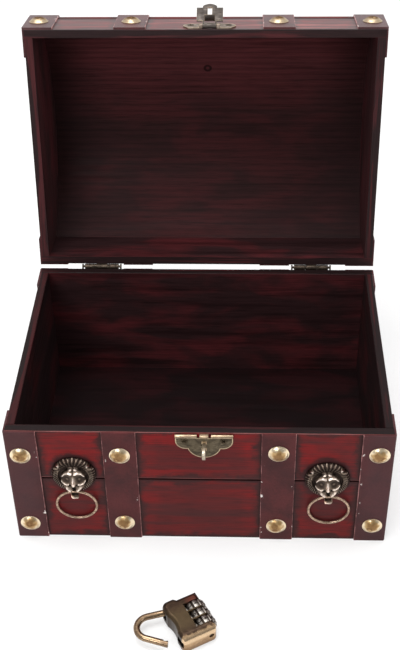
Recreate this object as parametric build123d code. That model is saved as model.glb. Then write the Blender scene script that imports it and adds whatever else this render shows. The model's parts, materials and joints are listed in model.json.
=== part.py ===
from build123d import *
import math
import os

# Wooden treasure chest with faux leather straps, a hasp, two ring pulls and a combination padlock.
# Millimetres. X to the right, Y to the back, Z up, origin at the middle of the underside.
# Everything is drawn with the lid closed, then the lid is turned to its open rest position.

# Boxwork
box_width = 225.0
box_depth = 160.0
box_height = 90.0
board = 5.2
floor_board = 5.2
edge_round = 0.6
seam = 0.5
upper_plank = 39.0
plank_groove_width = 1.3
plank_groove_depth = 1.2
overrun = 1.0

# Arched lid
lid_wall_height = 33.0
lid_crown = 66.0
dome_board = 4.0
lid_open_angle = 100.5

# Straps and studs
strap = 1.2
strap_width = 20.0
corner_strap_width = 17.8
strap_bay_share = 0.16978
strap_inset = 0.8
stud_radius = 6.1
stud_height = 3.1
stud_shank_radius = 0.8
stud_shank_length = 4.6
stud_from_corner = 7.4
stud_low_row = (12.4, 13.9, 12.4, 13.7)
stud_high_drops = (19.3, 18.4, 15.5, 16.0)
lid_stud_height = 15.5

# Stamped brass, screws and nails
brass_plate = 0.9
screw_head_radius = 2.2
screw_shank_radius = 1.0
screw_length = 4.6
nail_radius = 0.6
nail_length = 5.0

# Rear stop hinges
hinge_width = 23.0
hinge_strap_gap = 1.5
hinge_leaf_height = 13.5
hinge_knuckle_radius = 1.75
hinge_pin_radius = 0.8
hinge_axis_offset = 2.0
hinge_joint_gap = 0.15
hinge_pin_clearance = 0.05
hinge_pin_head = 0.9
hinge_corner_round = 1.5
hinge_pin_overhang = 1.95
hinge_screw_spacing = 14.0
hinge_screw_drop = 8.6

# Hasp: plates, staple and swinging flap
clasp_x = 3.2
clasp_width = 33.5
clasp_below_rim = 2.3
clasp_bead_radius = 1.2
clasp_wing_radius = 6.1
clasp_wing_drop = 10.3
clasp_lobe_half_width = 9.5
clasp_lobe_drop = 7.0
clasp_tab_width = 5.0
clasp_notch_width = 1.7
clasp_notch_depth = 1.6
clasp_tab_reach = 3.0
clasp_screw_spacing = 22.6
clasp_screw_drop = 3.8
staple_width = 1.9
staple_strip = 0.95
staple_eye_radius = 2.2
staple_reach = 7.85
staple_root = 4.5
staple_drop = 8.0
hasp_plate_width = 32.8
hasp_plate_low = 0.8
hasp_plate_high = 13.6
hasp_tip_height = 5.4
hasp_shoulder_height = 10.8
hasp_screw_spacing = 23.8
hasp_screw_height = 7.6
hasp_pin_radius = 0.7
hasp_pin_height = 2.2
hasp_pin_offset = 1.7
hasp_knuckle_radius = 1.4
hasp_knuckle_width = 2.0
hasp_running_gap = 0.15
hasp_notch_height = 7.6
hasp_corner_cut = 3.2
hasp_shoulder_inset = 7.6
hasp_shoulder_bulge_share = 0.8
hasp_pin_clearance = 0.05
flap_width = 16.5
flap_neck_width = 8.8
flap_window_width = 6.8
flap_window_start = 1.9
flap_window_end = 7.0
flap_neck_end = 6.6
flap_shoulder = 17.5
flap_length = 20.6
flap_ogee_width = 5.2
flap_slot_width = 2.8
flap_slot_start = 9.6
flap_slot_end = 17.5
flap_standoff = 4.2
flap_joggle_end = 4.2
flap_tongue_reach = 2.3
flap_tongue_lean = 3.0
flap_rest_angle = 146.5

# Lion mask ring pulls
left_mask_shift = 0.8
right_mask_shift = 0.2
left_mask_z = 55.3
right_mask_z = 53.3
right_mask_tilt = 4.4
mane_radius = 13.3
mane_plate = 1.2
mane_lobes = 20
mane_lobe_depth = 0.8
mane_layer_rise = 1.3
mane_middle_lobes = 17
mane_middle_share = 0.85
mane_inner_lobes = 14
mane_inner_share = 0.68
mane_draw_share = 0.5
face_width = 12.6
face_height = 17.0
face_drop = 2.4
face_rise = 3.0
face_top_share = 0.67
ear_radius = 1.7
ear_x = 9.9
ear_y = 7.6
crown_bump_radius = 1.2
crown_bump_x = 1.5
crown_bump_y = 5.6
brow_radius = 1.1
brow_inner_y = 2.6
brow_outer_y = 2.0
cheek_radius = 1.5
cheek_y = -2.6
nose_radius = 1.3
nose_y = -5.0
nose_reach = 7.3
muzzle_radius = 2.2
muzzle_x = 2.3
muzzle_y = -8.2
muzzle_reach = 4.7
jaw_width = 4.7
jaw_drop = 17.4
jaw_reach = 4.6
jaw_round = 1.8
ring_outer_radius = 13.0
ring_wire_radius = 0.85
ring_eye_radius = 1.2
ring_pivot_drop = 13.2
ring_pivot_reach = 2.4
ring_rest_gap = 0.3
mask_nail_x = 10.0
mask_nail_y = -3.0

# Combination padlock, drawn upright and face up, then laid on the table
lock_x = 5.35
lock_y = -144.4
lock_turn = 119.5
lock_width = 28.0
lock_height = 21.8
lock_thickness = 13.0
lock_corner_round = 2.8
lock_boss_round = 3.8
lock_side_round = 4.5
lock_edge_round = 2.4
lock_boss_step = 1.6
lock_boss_height = 8.0
lock_boss_width = 9.2
lock_saddle_dip = 1.2
wheel_radius = 6.4
wheel_width = 5.0
wheel_pitch = 6.1
wheel_axis_height = 4.0
wheel_side_gap = 0.15
wheel_pocket_gap = 0.3
wheel_count = 3
wheel_flutes = 10
wheel_flute_radius = 0.7
axle_radius = 1.5
axle_running_gap = 0.06
axle_recess = 1.2
axle_wall = 2.6
shackle_radius = 1.95
shackle_bow_radius = 7.8
shackle_bow_x = 0.7
shackle_bow_y = 28.1
shackle_pivot_x = 12.0
shackle_pivot_y = 17.4
shackle_eye_radius = 2.9
shackle_eye_thickness = 3.2
shackle_open_angle = 29.5
shackle_foot_depth = 4.4
shackle_pin_radius = 1.2
shackle_pin_gap = 0.05
shackle_slot_gap = 0.35
shackle_notch_depth = 0.9
shackle_notch_height = 1.9
latch_width = 1.6
latch_length = 5.6
latch_throw = 3.2
latch_gap = 0.15
latch_drop = 2.7
latch_spring_strip = 0.3
latch_spring_room = 4.6
latch_spring_folds = 3

os.makedirs("parts", exist_ok=True)

half_width = box_width / 2
half_depth = box_depth / 2
inner_half_width = half_width - board
inner_half_depth = half_depth - board
rim_z = box_height + seam
hinge_y = half_depth + hinge_axis_offset
hinge_z = box_height + seam / 2
hinge_axis = Axis((0, hinge_y, hinge_z), (1, 0, 0))
dome_rise = lid_crown - lid_wall_height
dome_radius = (inner_half_depth**2 + dome_rise**2) / (2 * dome_rise)
dome_centre_z = rim_z + lid_crown - dome_radius
dome_outer_radius = dome_radius + dome_board
front_y = -half_depth
strap_front_y = front_y - strap
bay = strap_bay_share * box_width
bay_x = half_width - corner_strap_width - bay / 2
strap_x = bay_x - (bay + strap_width) / 2
hinge_reach = hinge_width / 2 + hinge_pin_overhang
hinge_x = strap_x + strap_width / 2 + hinge_strap_gap + hinge_reach
plank_line = box_height - upper_plank
clasp_top = box_height - clasp_below_rim
staple_z = clasp_top - staple_drop
ON_FLOOR = (Align.CENTER, Align.CENTER, Align.MIN)


def save(name, shape):
    """Writes one sub-part to its own file."""
    shape.label = name
    export_step(shape, "parts/" + name + ".step")


def open_lid(shape):
    """Turns a piece of the closed lid to its open rest position."""
    return shape.rotate(hinge_axis, -lid_open_angle)


def block(x0, x1, y0, y1, z0, z1):
    """A box between two corners."""
    return Pos((x0 + x1) / 2, (y0 + y1) / 2, (z0 + z1) / 2) * Box(x1 - x0, y1 - y0, z1 - z0)


def rod(start, end, radius):
    """A round bar between two points."""
    run = Vector(*end) - Vector(*start)
    plane = Plane(origin=start, z_dir=run)
    return plane * Cylinder(radius, run.length, align=ON_FLOOR)


def solids_of(shapes):
    """Groups separate solids as one compound."""
    return Compound(children=[s for shape in shapes for s in shape.solids()])


def facing_front(x, z, y=front_y):
    """A place on the front: its local Z points out of the chest, its local Y up."""
    return Pos(x, y, z) * Rot(90, 0, 0)


def facing_back(x, z):
    """A place on the back: its local Z points out of the chest, its local Y down."""
    return Pos(x, half_depth, z) * Rot(-90, 0, 0)


# Places of the fixings

stud_columns = (stud_from_corner - half_width, -strap_x, strap_x, half_width - stud_from_corner)
stud_high_row = [box_height - drop for drop in stud_high_drops]
stud_points = list(zip(stud_columns, stud_low_row)) + list(zip(stud_columns, stud_high_row))
box_stud_places = [facing_front(x, z, strap_front_y) for x, z in stud_points]
lid_stud_places = [facing_front(x, rim_z + lid_stud_height, strap_front_y) for x in stud_columns]
clasp_screw_places = [
    facing_front(clasp_x + side * clasp_screw_spacing / 2, clasp_top - clasp_screw_drop) for side in (-1, 1)
]
hasp_screw_places = [
    facing_front(clasp_x + side * hasp_screw_spacing / 2, rim_z + hasp_screw_height) for side in (-1, 1)
]
mask_places = {
    "left": facing_front(left_mask_shift - bay_x, left_mask_z),
    "right": facing_front(right_mask_shift + bay_x, right_mask_z) * Rot(0, 0, right_mask_tilt),
}
hinge_centres = {"left": -hinge_x, "right": hinge_x}


def hinge_screw_places(rise):
    """The screws of both hinges' leaves, below the axis for the box and above it for the lid."""
    offsets = (-hinge_screw_spacing / 2, hinge_screw_spacing / 2)
    return [facing_back(x + offset, hinge_z + rise) for x in hinge_centres.values() for offset in offsets]


box_hinge_screws = hinge_screw_places(-hinge_screw_drop)
lid_hinge_screws = hinge_screw_places(hinge_screw_drop)
mask_nail_places = [
    place * Pos(side * mask_nail_x, mask_nail_y, 0) for place in mask_places.values() for side in (-1, 1)
]


# Fixings

def stud(place):
    """A domed upholstery nail standing on a strap."""
    dome_curve = (stud_radius**2 + stud_height**2) / (2 * stud_height)
    dome = Pos(0, 0, stud_height - dome_curve) * Sphere(dome_curve)
    dome = dome & Cylinder(stud_radius, stud_height, align=ON_FLOOR)
    return place * (dome + stud_shank())


def stud_shank():
    """The nail's shank, which also cuts its own hole."""
    return Pos(0, 0, -stud_shank_length) * Cylinder(stud_shank_radius, stud_shank_length, align=ON_FLOOR)


def screw(place):
    """A countersunk screw, its head flush with a stamped plate, which also cuts its own hole."""
    head = Cone(screw_shank_radius, screw_head_radius, brass_plate, align=ON_FLOOR)
    shank = Cylinder(screw_shank_radius, screw_length, align=ON_FLOOR)
    return place * (head + Pos(0, 0, brass_plate - screw_length) * shank)


def mask_nail(place):
    """A plain nail through the mane of a mask."""
    top = mane_plate + mane_layer_rise
    return place * Pos(0, 0, top - nail_length) * Cylinder(nail_radius, nail_length, align=ON_FLOOR)


def drill(shape, cutters):
    """Cuts the holes that a set of fixings needs."""
    for cutter in cutters:
        shape = shape - cutter
    return shape


# Chest box

def groove(panel, axis_x):
    """Cuts the line between the two planks on the outer face of a wall."""
    low = plank_line - plank_groove_width / 2
    high = plank_line + plank_groove_width / 2
    reach_x = half_width + overrun
    reach_y = half_depth + overrun
    core_x = reach_x if axis_x else half_width - plank_groove_depth
    core_y = half_depth - plank_groove_depth if axis_x else reach_y
    band = block(-reach_x, reach_x, -reach_y, reach_y, low, high)
    return panel - (band - block(-core_x, core_x, -core_y, core_y, low, high))


def long_panel(sign):
    """The front or back board, as long as the chest."""
    outer = sign * half_depth
    inner = sign * inner_half_depth
    panel = block(-half_width, half_width, min(outer, inner), max(outer, inner), 0, box_height)
    panel = fillet(panel.edges().filter_by(Axis.X).group_by(Axis.Z)[-1], edge_round)
    return groove(panel, True)


def end_panel(sign):
    """A left or right board, held between the long ones."""
    outer = sign * half_width
    inner = sign * inner_half_width
    panel = block(min(outer, inner), max(outer, inner), -inner_half_depth, inner_half_depth, 0, box_height)
    panel = fillet(panel.edges().filter_by(Axis.Y).group_by(Axis.Z)[-1], edge_round)
    return groove(panel, False)


def bottom_panel():
    """The bottom board, held between the four walls."""
    return block(-inner_half_width, inner_half_width, -inner_half_depth, inner_half_depth, 0, floor_board)


def corner_strap(sign_x, sign_y):
    """An angled strap wrapped round one upright corner of the box."""
    x0 = half_width - corner_strap_width
    y0 = half_depth - corner_strap_width
    top = box_height - strap_inset
    wrap = block(x0, half_width + strap, y0, half_depth + strap, 0, top)
    wrap = fillet(wrap.edges().filter_by(Axis.Z).group_by(SortBy.DISTANCE)[-1], strap)
    wrap = wrap - block(0, half_width, 0, half_depth, 0, box_height)
    if sign_x < 0:
        wrap = mirror(wrap, Plane.YZ)
    if sign_y < 0:
        wrap = mirror(wrap, Plane.XZ)
    return wrap


def flat_strap(x, sign_y):
    """An upright strap on the front or back of the box."""
    y0, y1 = sorted((sign_y * half_depth, sign_y * (half_depth + strap)))
    piece = block(x - strap_width / 2, x + strap_width / 2, y0, y1, 0, box_height - strap_inset)
    outer = piece.edges().filter_by(Axis.Z).sort_by(Axis.Y)
    outer = outer[:2] if sign_y < 0 else outer[-2:]
    return fillet(outer, strap / 2)


# Arched lid

def arch(x0, x1, half_span, radius, low):
    """A slice of the lid's outline: upright sides under the arc of the dome."""
    column = block(x0, x1, -half_span, half_span, low, dome_centre_z + radius)
    drum = Pos((x0 + x1) / 2, 0, dome_centre_z) * Rot(0, 90, 0) * Cylinder(radius, x1 - x0)
    return column & drum


def lid_wall(sign):
    """The front or back board of the lid, its top cut to the dome's curve."""
    outer = sign * half_depth
    inner = sign * inner_half_depth
    whole = arch(-half_width, half_width, half_depth, dome_radius, rim_z)
    slab = block(-half_width, half_width, min(outer, inner), max(outer, inner), rim_z, rim_z + lid_crown)
    return whole & slab


def lid_end(sign):
    """An arched end board of the lid."""
    x0, x1 = sorted((sign * half_width, sign * inner_half_width))
    return arch(x0, x1, inner_half_depth, dome_radius, rim_z)


def dome_sheet():
    """The thin board bent over the lid."""
    outer = arch(-half_width, half_width, half_depth, dome_outer_radius, rim_z)
    reach = half_width + overrun
    return outer - Pos(0, 0, dome_centre_z) * Rot(0, 90, 0) * Cylinder(dome_radius, 2 * reach)


def lid_strap(x):
    """A strap that runs from the front rim over the dome to the back rim."""
    x0 = x - strap_width / 2
    x1 = x + strap_width / 2
    outer = arch(x0, x1, half_depth + strap, dome_outer_radius + strap, rim_z + strap_inset)
    return outer - arch(x0 - overrun, x1 + overrun, half_depth, dome_outer_radius, rim_z - overrun)


def lid_edge_strap(sign):
    """A strap folded over the dome's edge, half on the dome and half on the end board."""
    outer = half_width + strap
    x0 = half_width - corner_strap_width
    whole = arch(x0, outer, half_depth + strap, dome_outer_radius + strap, rim_z + strap_inset)
    whole = whole - arch(0, half_width, half_depth, dome_outer_radius, rim_z - overrun)
    inner_span = half_depth - corner_strap_width
    inner_radius = dome_outer_radius - corner_strap_width
    whole = whole - arch(half_width - overrun, outer + overrun, inner_span, inner_radius, rim_z - overrun)
    return whole if sign > 0 else mirror(whole, Plane.YZ)


# Rear hinges

def hinge_rod(x0, x1, radius):
    """A round bar on the hinge axis."""
    return rod((x0, hinge_y, hinge_z), (x1, hinge_y, hinge_z), radius)


def hinge_leaf(x, rise):
    """One leaf with its knuckles: the box's takes the outer thirds, the lid's the middle."""
    half = hinge_width / 2
    third = hinge_width / 3
    y0 = half_depth
    tip = hinge_z + rise * hinge_leaf_height
    plate = block(x - half, x + half, y0, y0 + brass_plate, min(hinge_z, tip), max(hinge_z, tip))
    upright = plate.edges().filter_by(Axis.Y).sort_by(Axis.Z)
    plate = fillet(upright[:2] if rise < 0 else upright[-2:], hinge_corner_round)
    clear = hinge_knuckle_radius + hinge_joint_gap
    inner = third / 2
    outer_spans = ((-half, -inner), (inner, half))
    inner_span = ((hinge_joint_gap - inner, inner - hinge_joint_gap),)
    spans = outer_spans if rise < 0 else inner_span
    others = ((-inner, inner),) if rise < 0 else ((-half - overrun, -inner), (inner, half + overrun))
    z0, z1 = sorted((hinge_z - rise * overrun, hinge_z + rise * clear))
    for start, end in others:
        x0 = x + start - hinge_joint_gap
        x1 = x + end + hinge_joint_gap
        plate = plate - block(x0, x1, y0, y0 + brass_plate, z0, z1)
    for start, end in spans:
        plate = plate + hinge_rod(x + start, x + end, hinge_knuckle_radius)
    bore = hinge_pin_radius if rise < 0 else hinge_pin_radius + hinge_pin_clearance
    plate = plate - hinge_rod(x - half - overrun, x + half + overrun, bore)
    places = box_hinge_screws if rise < 0 else lid_hinge_screws
    return drill(plate, [screw(place) for place in places])


def hinge_pin(x):
    """The pin of one hinge, with a small head beyond each end."""
    left = x - hinge_reach
    right = x + hinge_reach
    pin = hinge_rod(left, right, hinge_pin_radius)
    left_head = hinge_rod(left, left + hinge_pin_head, hinge_knuckle_radius)
    right_head = hinge_rod(right - hinge_pin_head, right, hinge_knuckle_radius)
    return pin + left_head + right_head


# Clasp on the box: plate and staple

def clasp_outline():
    """The bat-wing outline, its straight top edge at local Y 0."""
    half = clasp_width / 2
    wing_x = half - clasp_wing_radius
    wing_y = clasp_wing_radius - clasp_wing_drop
    diagonal = clasp_wing_radius * math.sqrt(0.5)
    lines = Curve()
    for side in (-1, 1):
        lines += Line((side * half, 0), (side * half, wing_y))
        lines += ThreePointArc(
            (side * half, wing_y),
            (side * (wing_x + diagonal), wing_y - diagonal),
            (side * wing_x, -clasp_wing_drop),
        )
        lines += Line((side * wing_x, -clasp_wing_drop), (side * clasp_lobe_half_width, -clasp_wing_drop))
    lines += ThreePointArc(
        (-clasp_lobe_half_width, -clasp_wing_drop),
        (0, -clasp_wing_drop - clasp_lobe_drop),
        (clasp_lobe_half_width, -clasp_wing_drop),
    )
    lines += Line((-half, 0), (half, 0))
    return make_face(lines)


def clasp_plate():
    """The staple's plate with its rolled top edge, two notches and the tab between them."""
    half = clasp_width / 2
    plate = extrude(clasp_outline(), brass_plate)
    plate = plate + rod((-half, 0, clasp_bead_radius), (half, 0, clasp_bead_radius), clasp_bead_radius)
    for side in (-1, 1):
        x0, x1 = sorted((side * clasp_tab_width / 2, side * (clasp_tab_width / 2 + clasp_notch_width)))
        top = clasp_bead_radius + overrun
        plate = plate - block(x0, x1, -clasp_notch_depth, top, -overrun, clasp_tab_reach)
    half_tab = clasp_tab_width / 2
    tab = block(-half_tab, half_tab, clasp_bead_radius - brass_plate, clasp_bead_radius, 0, clasp_tab_reach)
    plate = facing_front(clasp_x, clasp_top) * (plate + tab)
    return drill(plate, [screw(place) for place in clasp_screw_places] + [staple_blank()])


def staple_bar(radius, root):
    """A bar with a round nose, as wide as the staple, standing out of the front."""
    nose = rod((-staple_width / 2, 0, staple_reach), (staple_width / 2, 0, staple_reach), radius)
    half = staple_width / 2
    return nose + block(-half, half, -radius, radius, -root, staple_reach)


def staple_blank():
    """The staple's outer form, which also cuts its slots."""
    place = facing_front(clasp_x, staple_z)
    outer = staple_bar(staple_eye_radius + staple_strip, staple_root)
    return place * (outer - staple_bar(staple_eye_radius, staple_root))


def staple():
    """The loop that the flap's slot drops over and the padlock goes through."""
    loop = staple_blank()
    return fillet(loop.edges().filter_by(GeomType.CIRCLE), staple_strip / 4)


# Hasp on the lid: plate, pin and flap

def hasp_outline():
    """The pointed plate on the lid, local Y measured from the rim."""
    half = hasp_plate_width / 2
    low_x = half - hasp_corner_cut
    shoulder_x = half - hasp_shoulder_inset
    bulge_x = half - hasp_shoulder_inset * (1 - hasp_shoulder_bulge_share)
    bulge = (bulge_x, hasp_shoulder_height - brass_plate)
    lines = Line((-low_x, hasp_plate_low), (low_x, hasp_plate_low))
    for side in (-1, 1):
        lines += Line((side * low_x, hasp_plate_low), (side * half, hasp_tip_height))
        lines += ThreePointArc(
            (side * half, hasp_tip_height),
            (side * bulge[0], bulge[1]),
            (side * shoulder_x, hasp_shoulder_height),
        )
    lines += ThreePointArc(
        (-shoulder_x, hasp_shoulder_height), (0, hasp_plate_high), (shoulder_x, hasp_shoulder_height)
    )
    return make_face(lines)


def hasp_plate():
    """The lid's plate, notched for the flap, with a knuckle on each side of the notch."""
    inner = flap_neck_width / 2 + hasp_running_gap
    outer = inner + hasp_knuckle_width
    plate = extrude(hasp_outline(), brass_plate)
    plate = plate - block(-inner, inner, 0, hasp_notch_height, -overrun, brass_plate + overrun)
    for side in (-1, 1):
        x0, x1 = sorted((side * inner, side * outer))
        low = hasp_pin_height - hasp_knuckle_radius
        high = hasp_pin_height + hasp_knuckle_radius
        plate = plate + block(x0, x1, low, high, 0, hasp_pin_offset)
        start = (x0, hasp_pin_height, hasp_pin_offset)
        plate = plate + rod(start, (x1, hasp_pin_height, hasp_pin_offset), hasp_knuckle_radius)
    plate = facing_front(clasp_x, rim_z) * plate
    return drill(plate, [screw(place) for place in hasp_screw_places] + [hasp_pin()])


def hasp_pin():
    """The wire that the flap swings on."""
    reach = flap_neck_width / 2 + hasp_running_gap + hasp_knuckle_width
    start = (-reach, hasp_pin_height, hasp_pin_offset)
    end = (reach, hasp_pin_height, hasp_pin_offset)
    return facing_front(clasp_x, rim_z) * rod(start, end, hasp_pin_radius)


def side_prism(points, half):
    """Extrudes an outline of distances down from the pin and out from the wood."""
    turned = [(out, -down) for down, out in points]
    face = make_face(Polyline(*turned, close=True))
    return Rot(0, -90, 0) * Pos(0, 0, -half) * extrude(face, 2 * half)


def flap_outline():
    """The leaf with square shoulders and an ogee tip, local Y 0 at the pin."""
    half = flap_width / 2
    lines = Polyline(
        (-flap_ogee_width, -flap_shoulder),
        (-half, -flap_shoulder),
        (-half, -flap_neck_end),
        (half, -flap_neck_end),
        (half, -flap_shoulder),
        (flap_ogee_width, -flap_shoulder),
    )
    rise = flap_length - flap_shoulder
    mid_x = flap_ogee_width / 2
    mid_y = -flap_shoulder - rise / 2
    for side in (-1, 1):
        start = (side * flap_ogee_width, -flap_shoulder)
        middle = (side * mid_x, mid_y)
        hollow = (side * (flap_ogee_width + mid_x) / 2 - side * rise / 8, -flap_shoulder - rise / 8)
        swell = (side * mid_x / 2 + side * rise / 8, mid_y - rise * 3 / 8)
        lines += ThreePointArc(start, hollow, middle)
        lines += ThreePointArc(middle, swell, (0, -flap_length))
    return make_face(lines)


def hasp_flap():
    """The swinging flap, drawn hanging closed: barrel, stepped neck, leaf, slot and spring tongue."""
    outer = flap_standoff + brass_plate
    neck = flap_neck_width / 2
    barrel_top = hasp_pin_offset + hasp_knuckle_radius
    leaf = Pos(0, 0, flap_standoff) * extrude(flap_outline(), brass_plate)
    step = side_prism(
        (
            (0, barrel_top - brass_plate),
            (0, barrel_top),
            (flap_joggle_end - brass_plate / 2, outer),
            (flap_neck_end + overrun, outer),
            (flap_neck_end + overrun, flap_standoff),
            (flap_joggle_end, flap_standoff),
        ),
        neck,
    )
    flap = leaf + step
    window = flap_window_width / 2
    flap = flap - block(-window, window, -flap_window_end, -flap_window_start, 0, outer + overrun)
    tongue_tip = flap_window_end + flap_tongue_reach
    tongue = side_prism(
        (
            (flap_window_end, outer),
            (flap_window_end, flap_standoff),
            (tongue_tip - brass_plate / 2, flap_standoff - flap_tongue_lean),
            (tongue_tip, flap_standoff - flap_tongue_lean + brass_plate / 2),
            (flap_window_end + brass_plate, flap_standoff),
            (flap_window_end + brass_plate, outer),
        ),
        window - hasp_running_gap,
    )
    slot = flap_slot_width / 2
    flap = flap + tongue - block(-slot, slot, -flap_slot_end, -flap_slot_start, 0, outer + overrun)
    barrel = rod((-neck, 0, hasp_pin_offset), (neck, 0, hasp_pin_offset), hasp_knuckle_radius)
    bore = hasp_pin_radius + hasp_pin_clearance
    reach = neck + overrun
    flap = flap + barrel - rod((-reach, 0, hasp_pin_offset), (reach, 0, hasp_pin_offset), bore)
    flap = facing_front(clasp_x, rim_z + hasp_pin_height) * flap
    pin_axis = Axis((clasp_x, front_y - hasp_pin_offset, rim_z + hasp_pin_height), (1, 0, 0))
    return flap.rotate(pin_axis, -flap_rest_angle)


# Lion masks with their rings

def lobed(radius, lobes):
    """A round outline scalloped into locks of mane."""
    valley = radius - mane_lobe_depth
    step = 360 / lobes
    lines = Curve()
    for i in range(lobes):
        start, middle, end = ((i + part) * math.radians(step) for part in (0, 0.5, 1))
        lines += ThreePointArc(
            (valley * math.sin(start), valley * math.cos(start)),
            (radius * math.sin(middle), radius * math.cos(middle)),
            (valley * math.sin(end), valley * math.cos(end)),
        )
    return make_face(lines)


def mane():
    """The mane in three stepped layers of locks, each drawn in towards its top."""
    body = extrude(lobed(mane_radius, mane_lobes), mane_plate)
    level = mane_plate
    draw = mane_draw_share * mane_layer_rise
    for share, lobes in ((mane_middle_share, mane_middle_lobes), (mane_inner_share, mane_inner_lobes)):
        low = Pos(0, 0, level) * lobed(share * mane_radius, lobes)
        high = Pos(0, 0, level + mane_layer_rise) * lobed(share * mane_radius - draw, lobes)
        body = body + loft([low, high], ruled=True)
        level += mane_layer_rise
    return body, level


def ball(x, y, z, radius):
    """A round boss of the face."""
    return Pos(x, y, z) * Sphere(radius)


def lion_face(level):
    """The domed face with its brows, cheeks, crown bumps, nose and muzzle."""
    low = Pos(0, -face_drop, level) * Ellipse(face_width / 2, face_height / 2)
    top_width = face_top_share * face_width
    top_height = face_top_share * face_height
    high = Pos(0, -face_drop, level + face_rise) * Ellipse(top_width / 2, top_height / 2)
    face = loft([low, high])
    top = level + face_rise
    for side in (-1, 1):
        brow_inner = (side * brow_radius, brow_inner_y, top)
        brow_outer = (side * (face_width / 2 - brow_radius), brow_outer_y, level + brow_radius)
        face = face + rod(brow_inner, brow_outer, brow_radius)
        face = face + ball(*brow_inner, brow_radius) + ball(*brow_outer, brow_radius)
        face = face + ball(side * crown_bump_x, crown_bump_y, top - crown_bump_radius, crown_bump_radius)
        cheek_x = side * (face_width / 2 - cheek_radius)
        face = face + ball(cheek_x, cheek_y, level + cheek_radius, cheek_radius)
        face = face + ball(side * muzzle_x, muzzle_y, muzzle_reach, muzzle_radius)
    bridge = (0, brow_inner_y, top - nose_radius / 2)
    tip = (0, nose_y, nose_reach)
    return face + rod(bridge, tip, nose_radius) + ball(*tip, nose_radius)


def lion_mask(place):
    """A cast lion head: mane, ears, face and the jaw with its eye for the ring."""
    body, level = mane()
    for side in (-1, 1):
        body = body + ball(side * ear_x, ear_y, mane_plate + ear_radius / 2, ear_radius)
    half_jaw = jaw_width / 2
    jaw = block(-half_jaw, half_jaw, -jaw_drop, muzzle_y, 0, jaw_reach)
    jaw = fillet(jaw.edges().filter_by(Axis.X).group_by(Axis.Y)[0].group_by(Axis.Z)[-1], jaw_round)
    body = body + lion_face(level) + jaw
    start = (-half_jaw - overrun, -ring_pivot_drop, ring_pivot_reach)
    end = (half_jaw + overrun, -ring_pivot_drop, ring_pivot_reach)
    body = body - rod(start, end, ring_eye_radius)
    return drill(place * body, [mask_nail(nail_place) for nail_place in mask_nail_places])


def ring(place):
    """A pull ring hanging in the jaw's eye, its foot resting on the wood."""
    middle_radius = ring_outer_radius - ring_wire_radius
    foot_drop_in = ring_pivot_reach - ring_wire_radius - ring_rest_gap
    lean = math.degrees(math.asin(foot_drop_in / (2 * middle_radius)))
    hoop = Pos(0, -middle_radius, 0) * Torus(middle_radius, ring_wire_radius)
    return place * Pos(0, -ring_pivot_drop, ring_pivot_reach) * Rot(lean, 0, 0) * hoop


# Padlock, local X right, Y up, Z out of its face

lock_place = Pos(lock_x, lock_y, 0) * Rot(0, 0, lock_turn)
lock_middle = lock_thickness / 2
wheel_centres = [(i - (wheel_count - 1) / 2) * wheel_pitch for i in range(wheel_count)]
shackle_angle = math.atan2(shackle_bow_y - shackle_pivot_y, shackle_pivot_x - shackle_bow_x)
shackle_span = math.hypot(shackle_bow_y - shackle_pivot_y, shackle_pivot_x - shackle_bow_x)
shackle_tangent = math.acos(shackle_bow_radius / shackle_span) - shackle_angle
shackle_foot_x = 2 * shackle_bow_x - shackle_pivot_x
shackle_foot_y = lock_height - shackle_foot_depth
latch_y = lock_height - latch_drop
foot_pocket_x = shackle_foot_x + 2 * shackle_radius + shackle_slot_gap
latch_rest_x = foot_pocket_x + latch_gap


def lock_outline():
    """The lock's face: straight sides, a stepped shoulder at the pivot and a dipped top."""
    half = lock_width / 2
    step_y = lock_height - lock_boss_height
    boss_x = half + lock_boss_step
    saddle_x = boss_x - lock_boss_width
    lines = Polyline(
        (-saddle_x, lock_height),
        (-half, lock_height),
        (-half, 0),
        (half, 0),
        (half, step_y - lock_boss_step),
        (boss_x, step_y),
        (boss_x, lock_height),
        (saddle_x, lock_height),
    )
    saddle = (0, lock_height - lock_saddle_dip)
    lines += ThreePointArc((saddle_x, lock_height), saddle, (-saddle_x, lock_height))
    face = make_face(lines)
    corners = face.vertices().sort_by(Axis.X)
    knuckle = corners[-2:].sort_by(Axis.Y)[-1]
    face = fillet(knuckle, lock_boss_round)
    return fillet(face.vertices().sort_by(Axis.X)[:2], lock_corner_round)


def lock_side_form():
    """The rounded form that the free side of the body follows."""
    half = lock_width / 2
    form = block(-half, half + 2 * lock_boss_step, -overrun, lock_height + overrun, 0, lock_thickness)
    side = form.edges().filter_by(Axis.Y).group_by(Axis.X)[0].group_by(Axis.Z)[-1]
    return fillet(side, lock_side_round)


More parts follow.
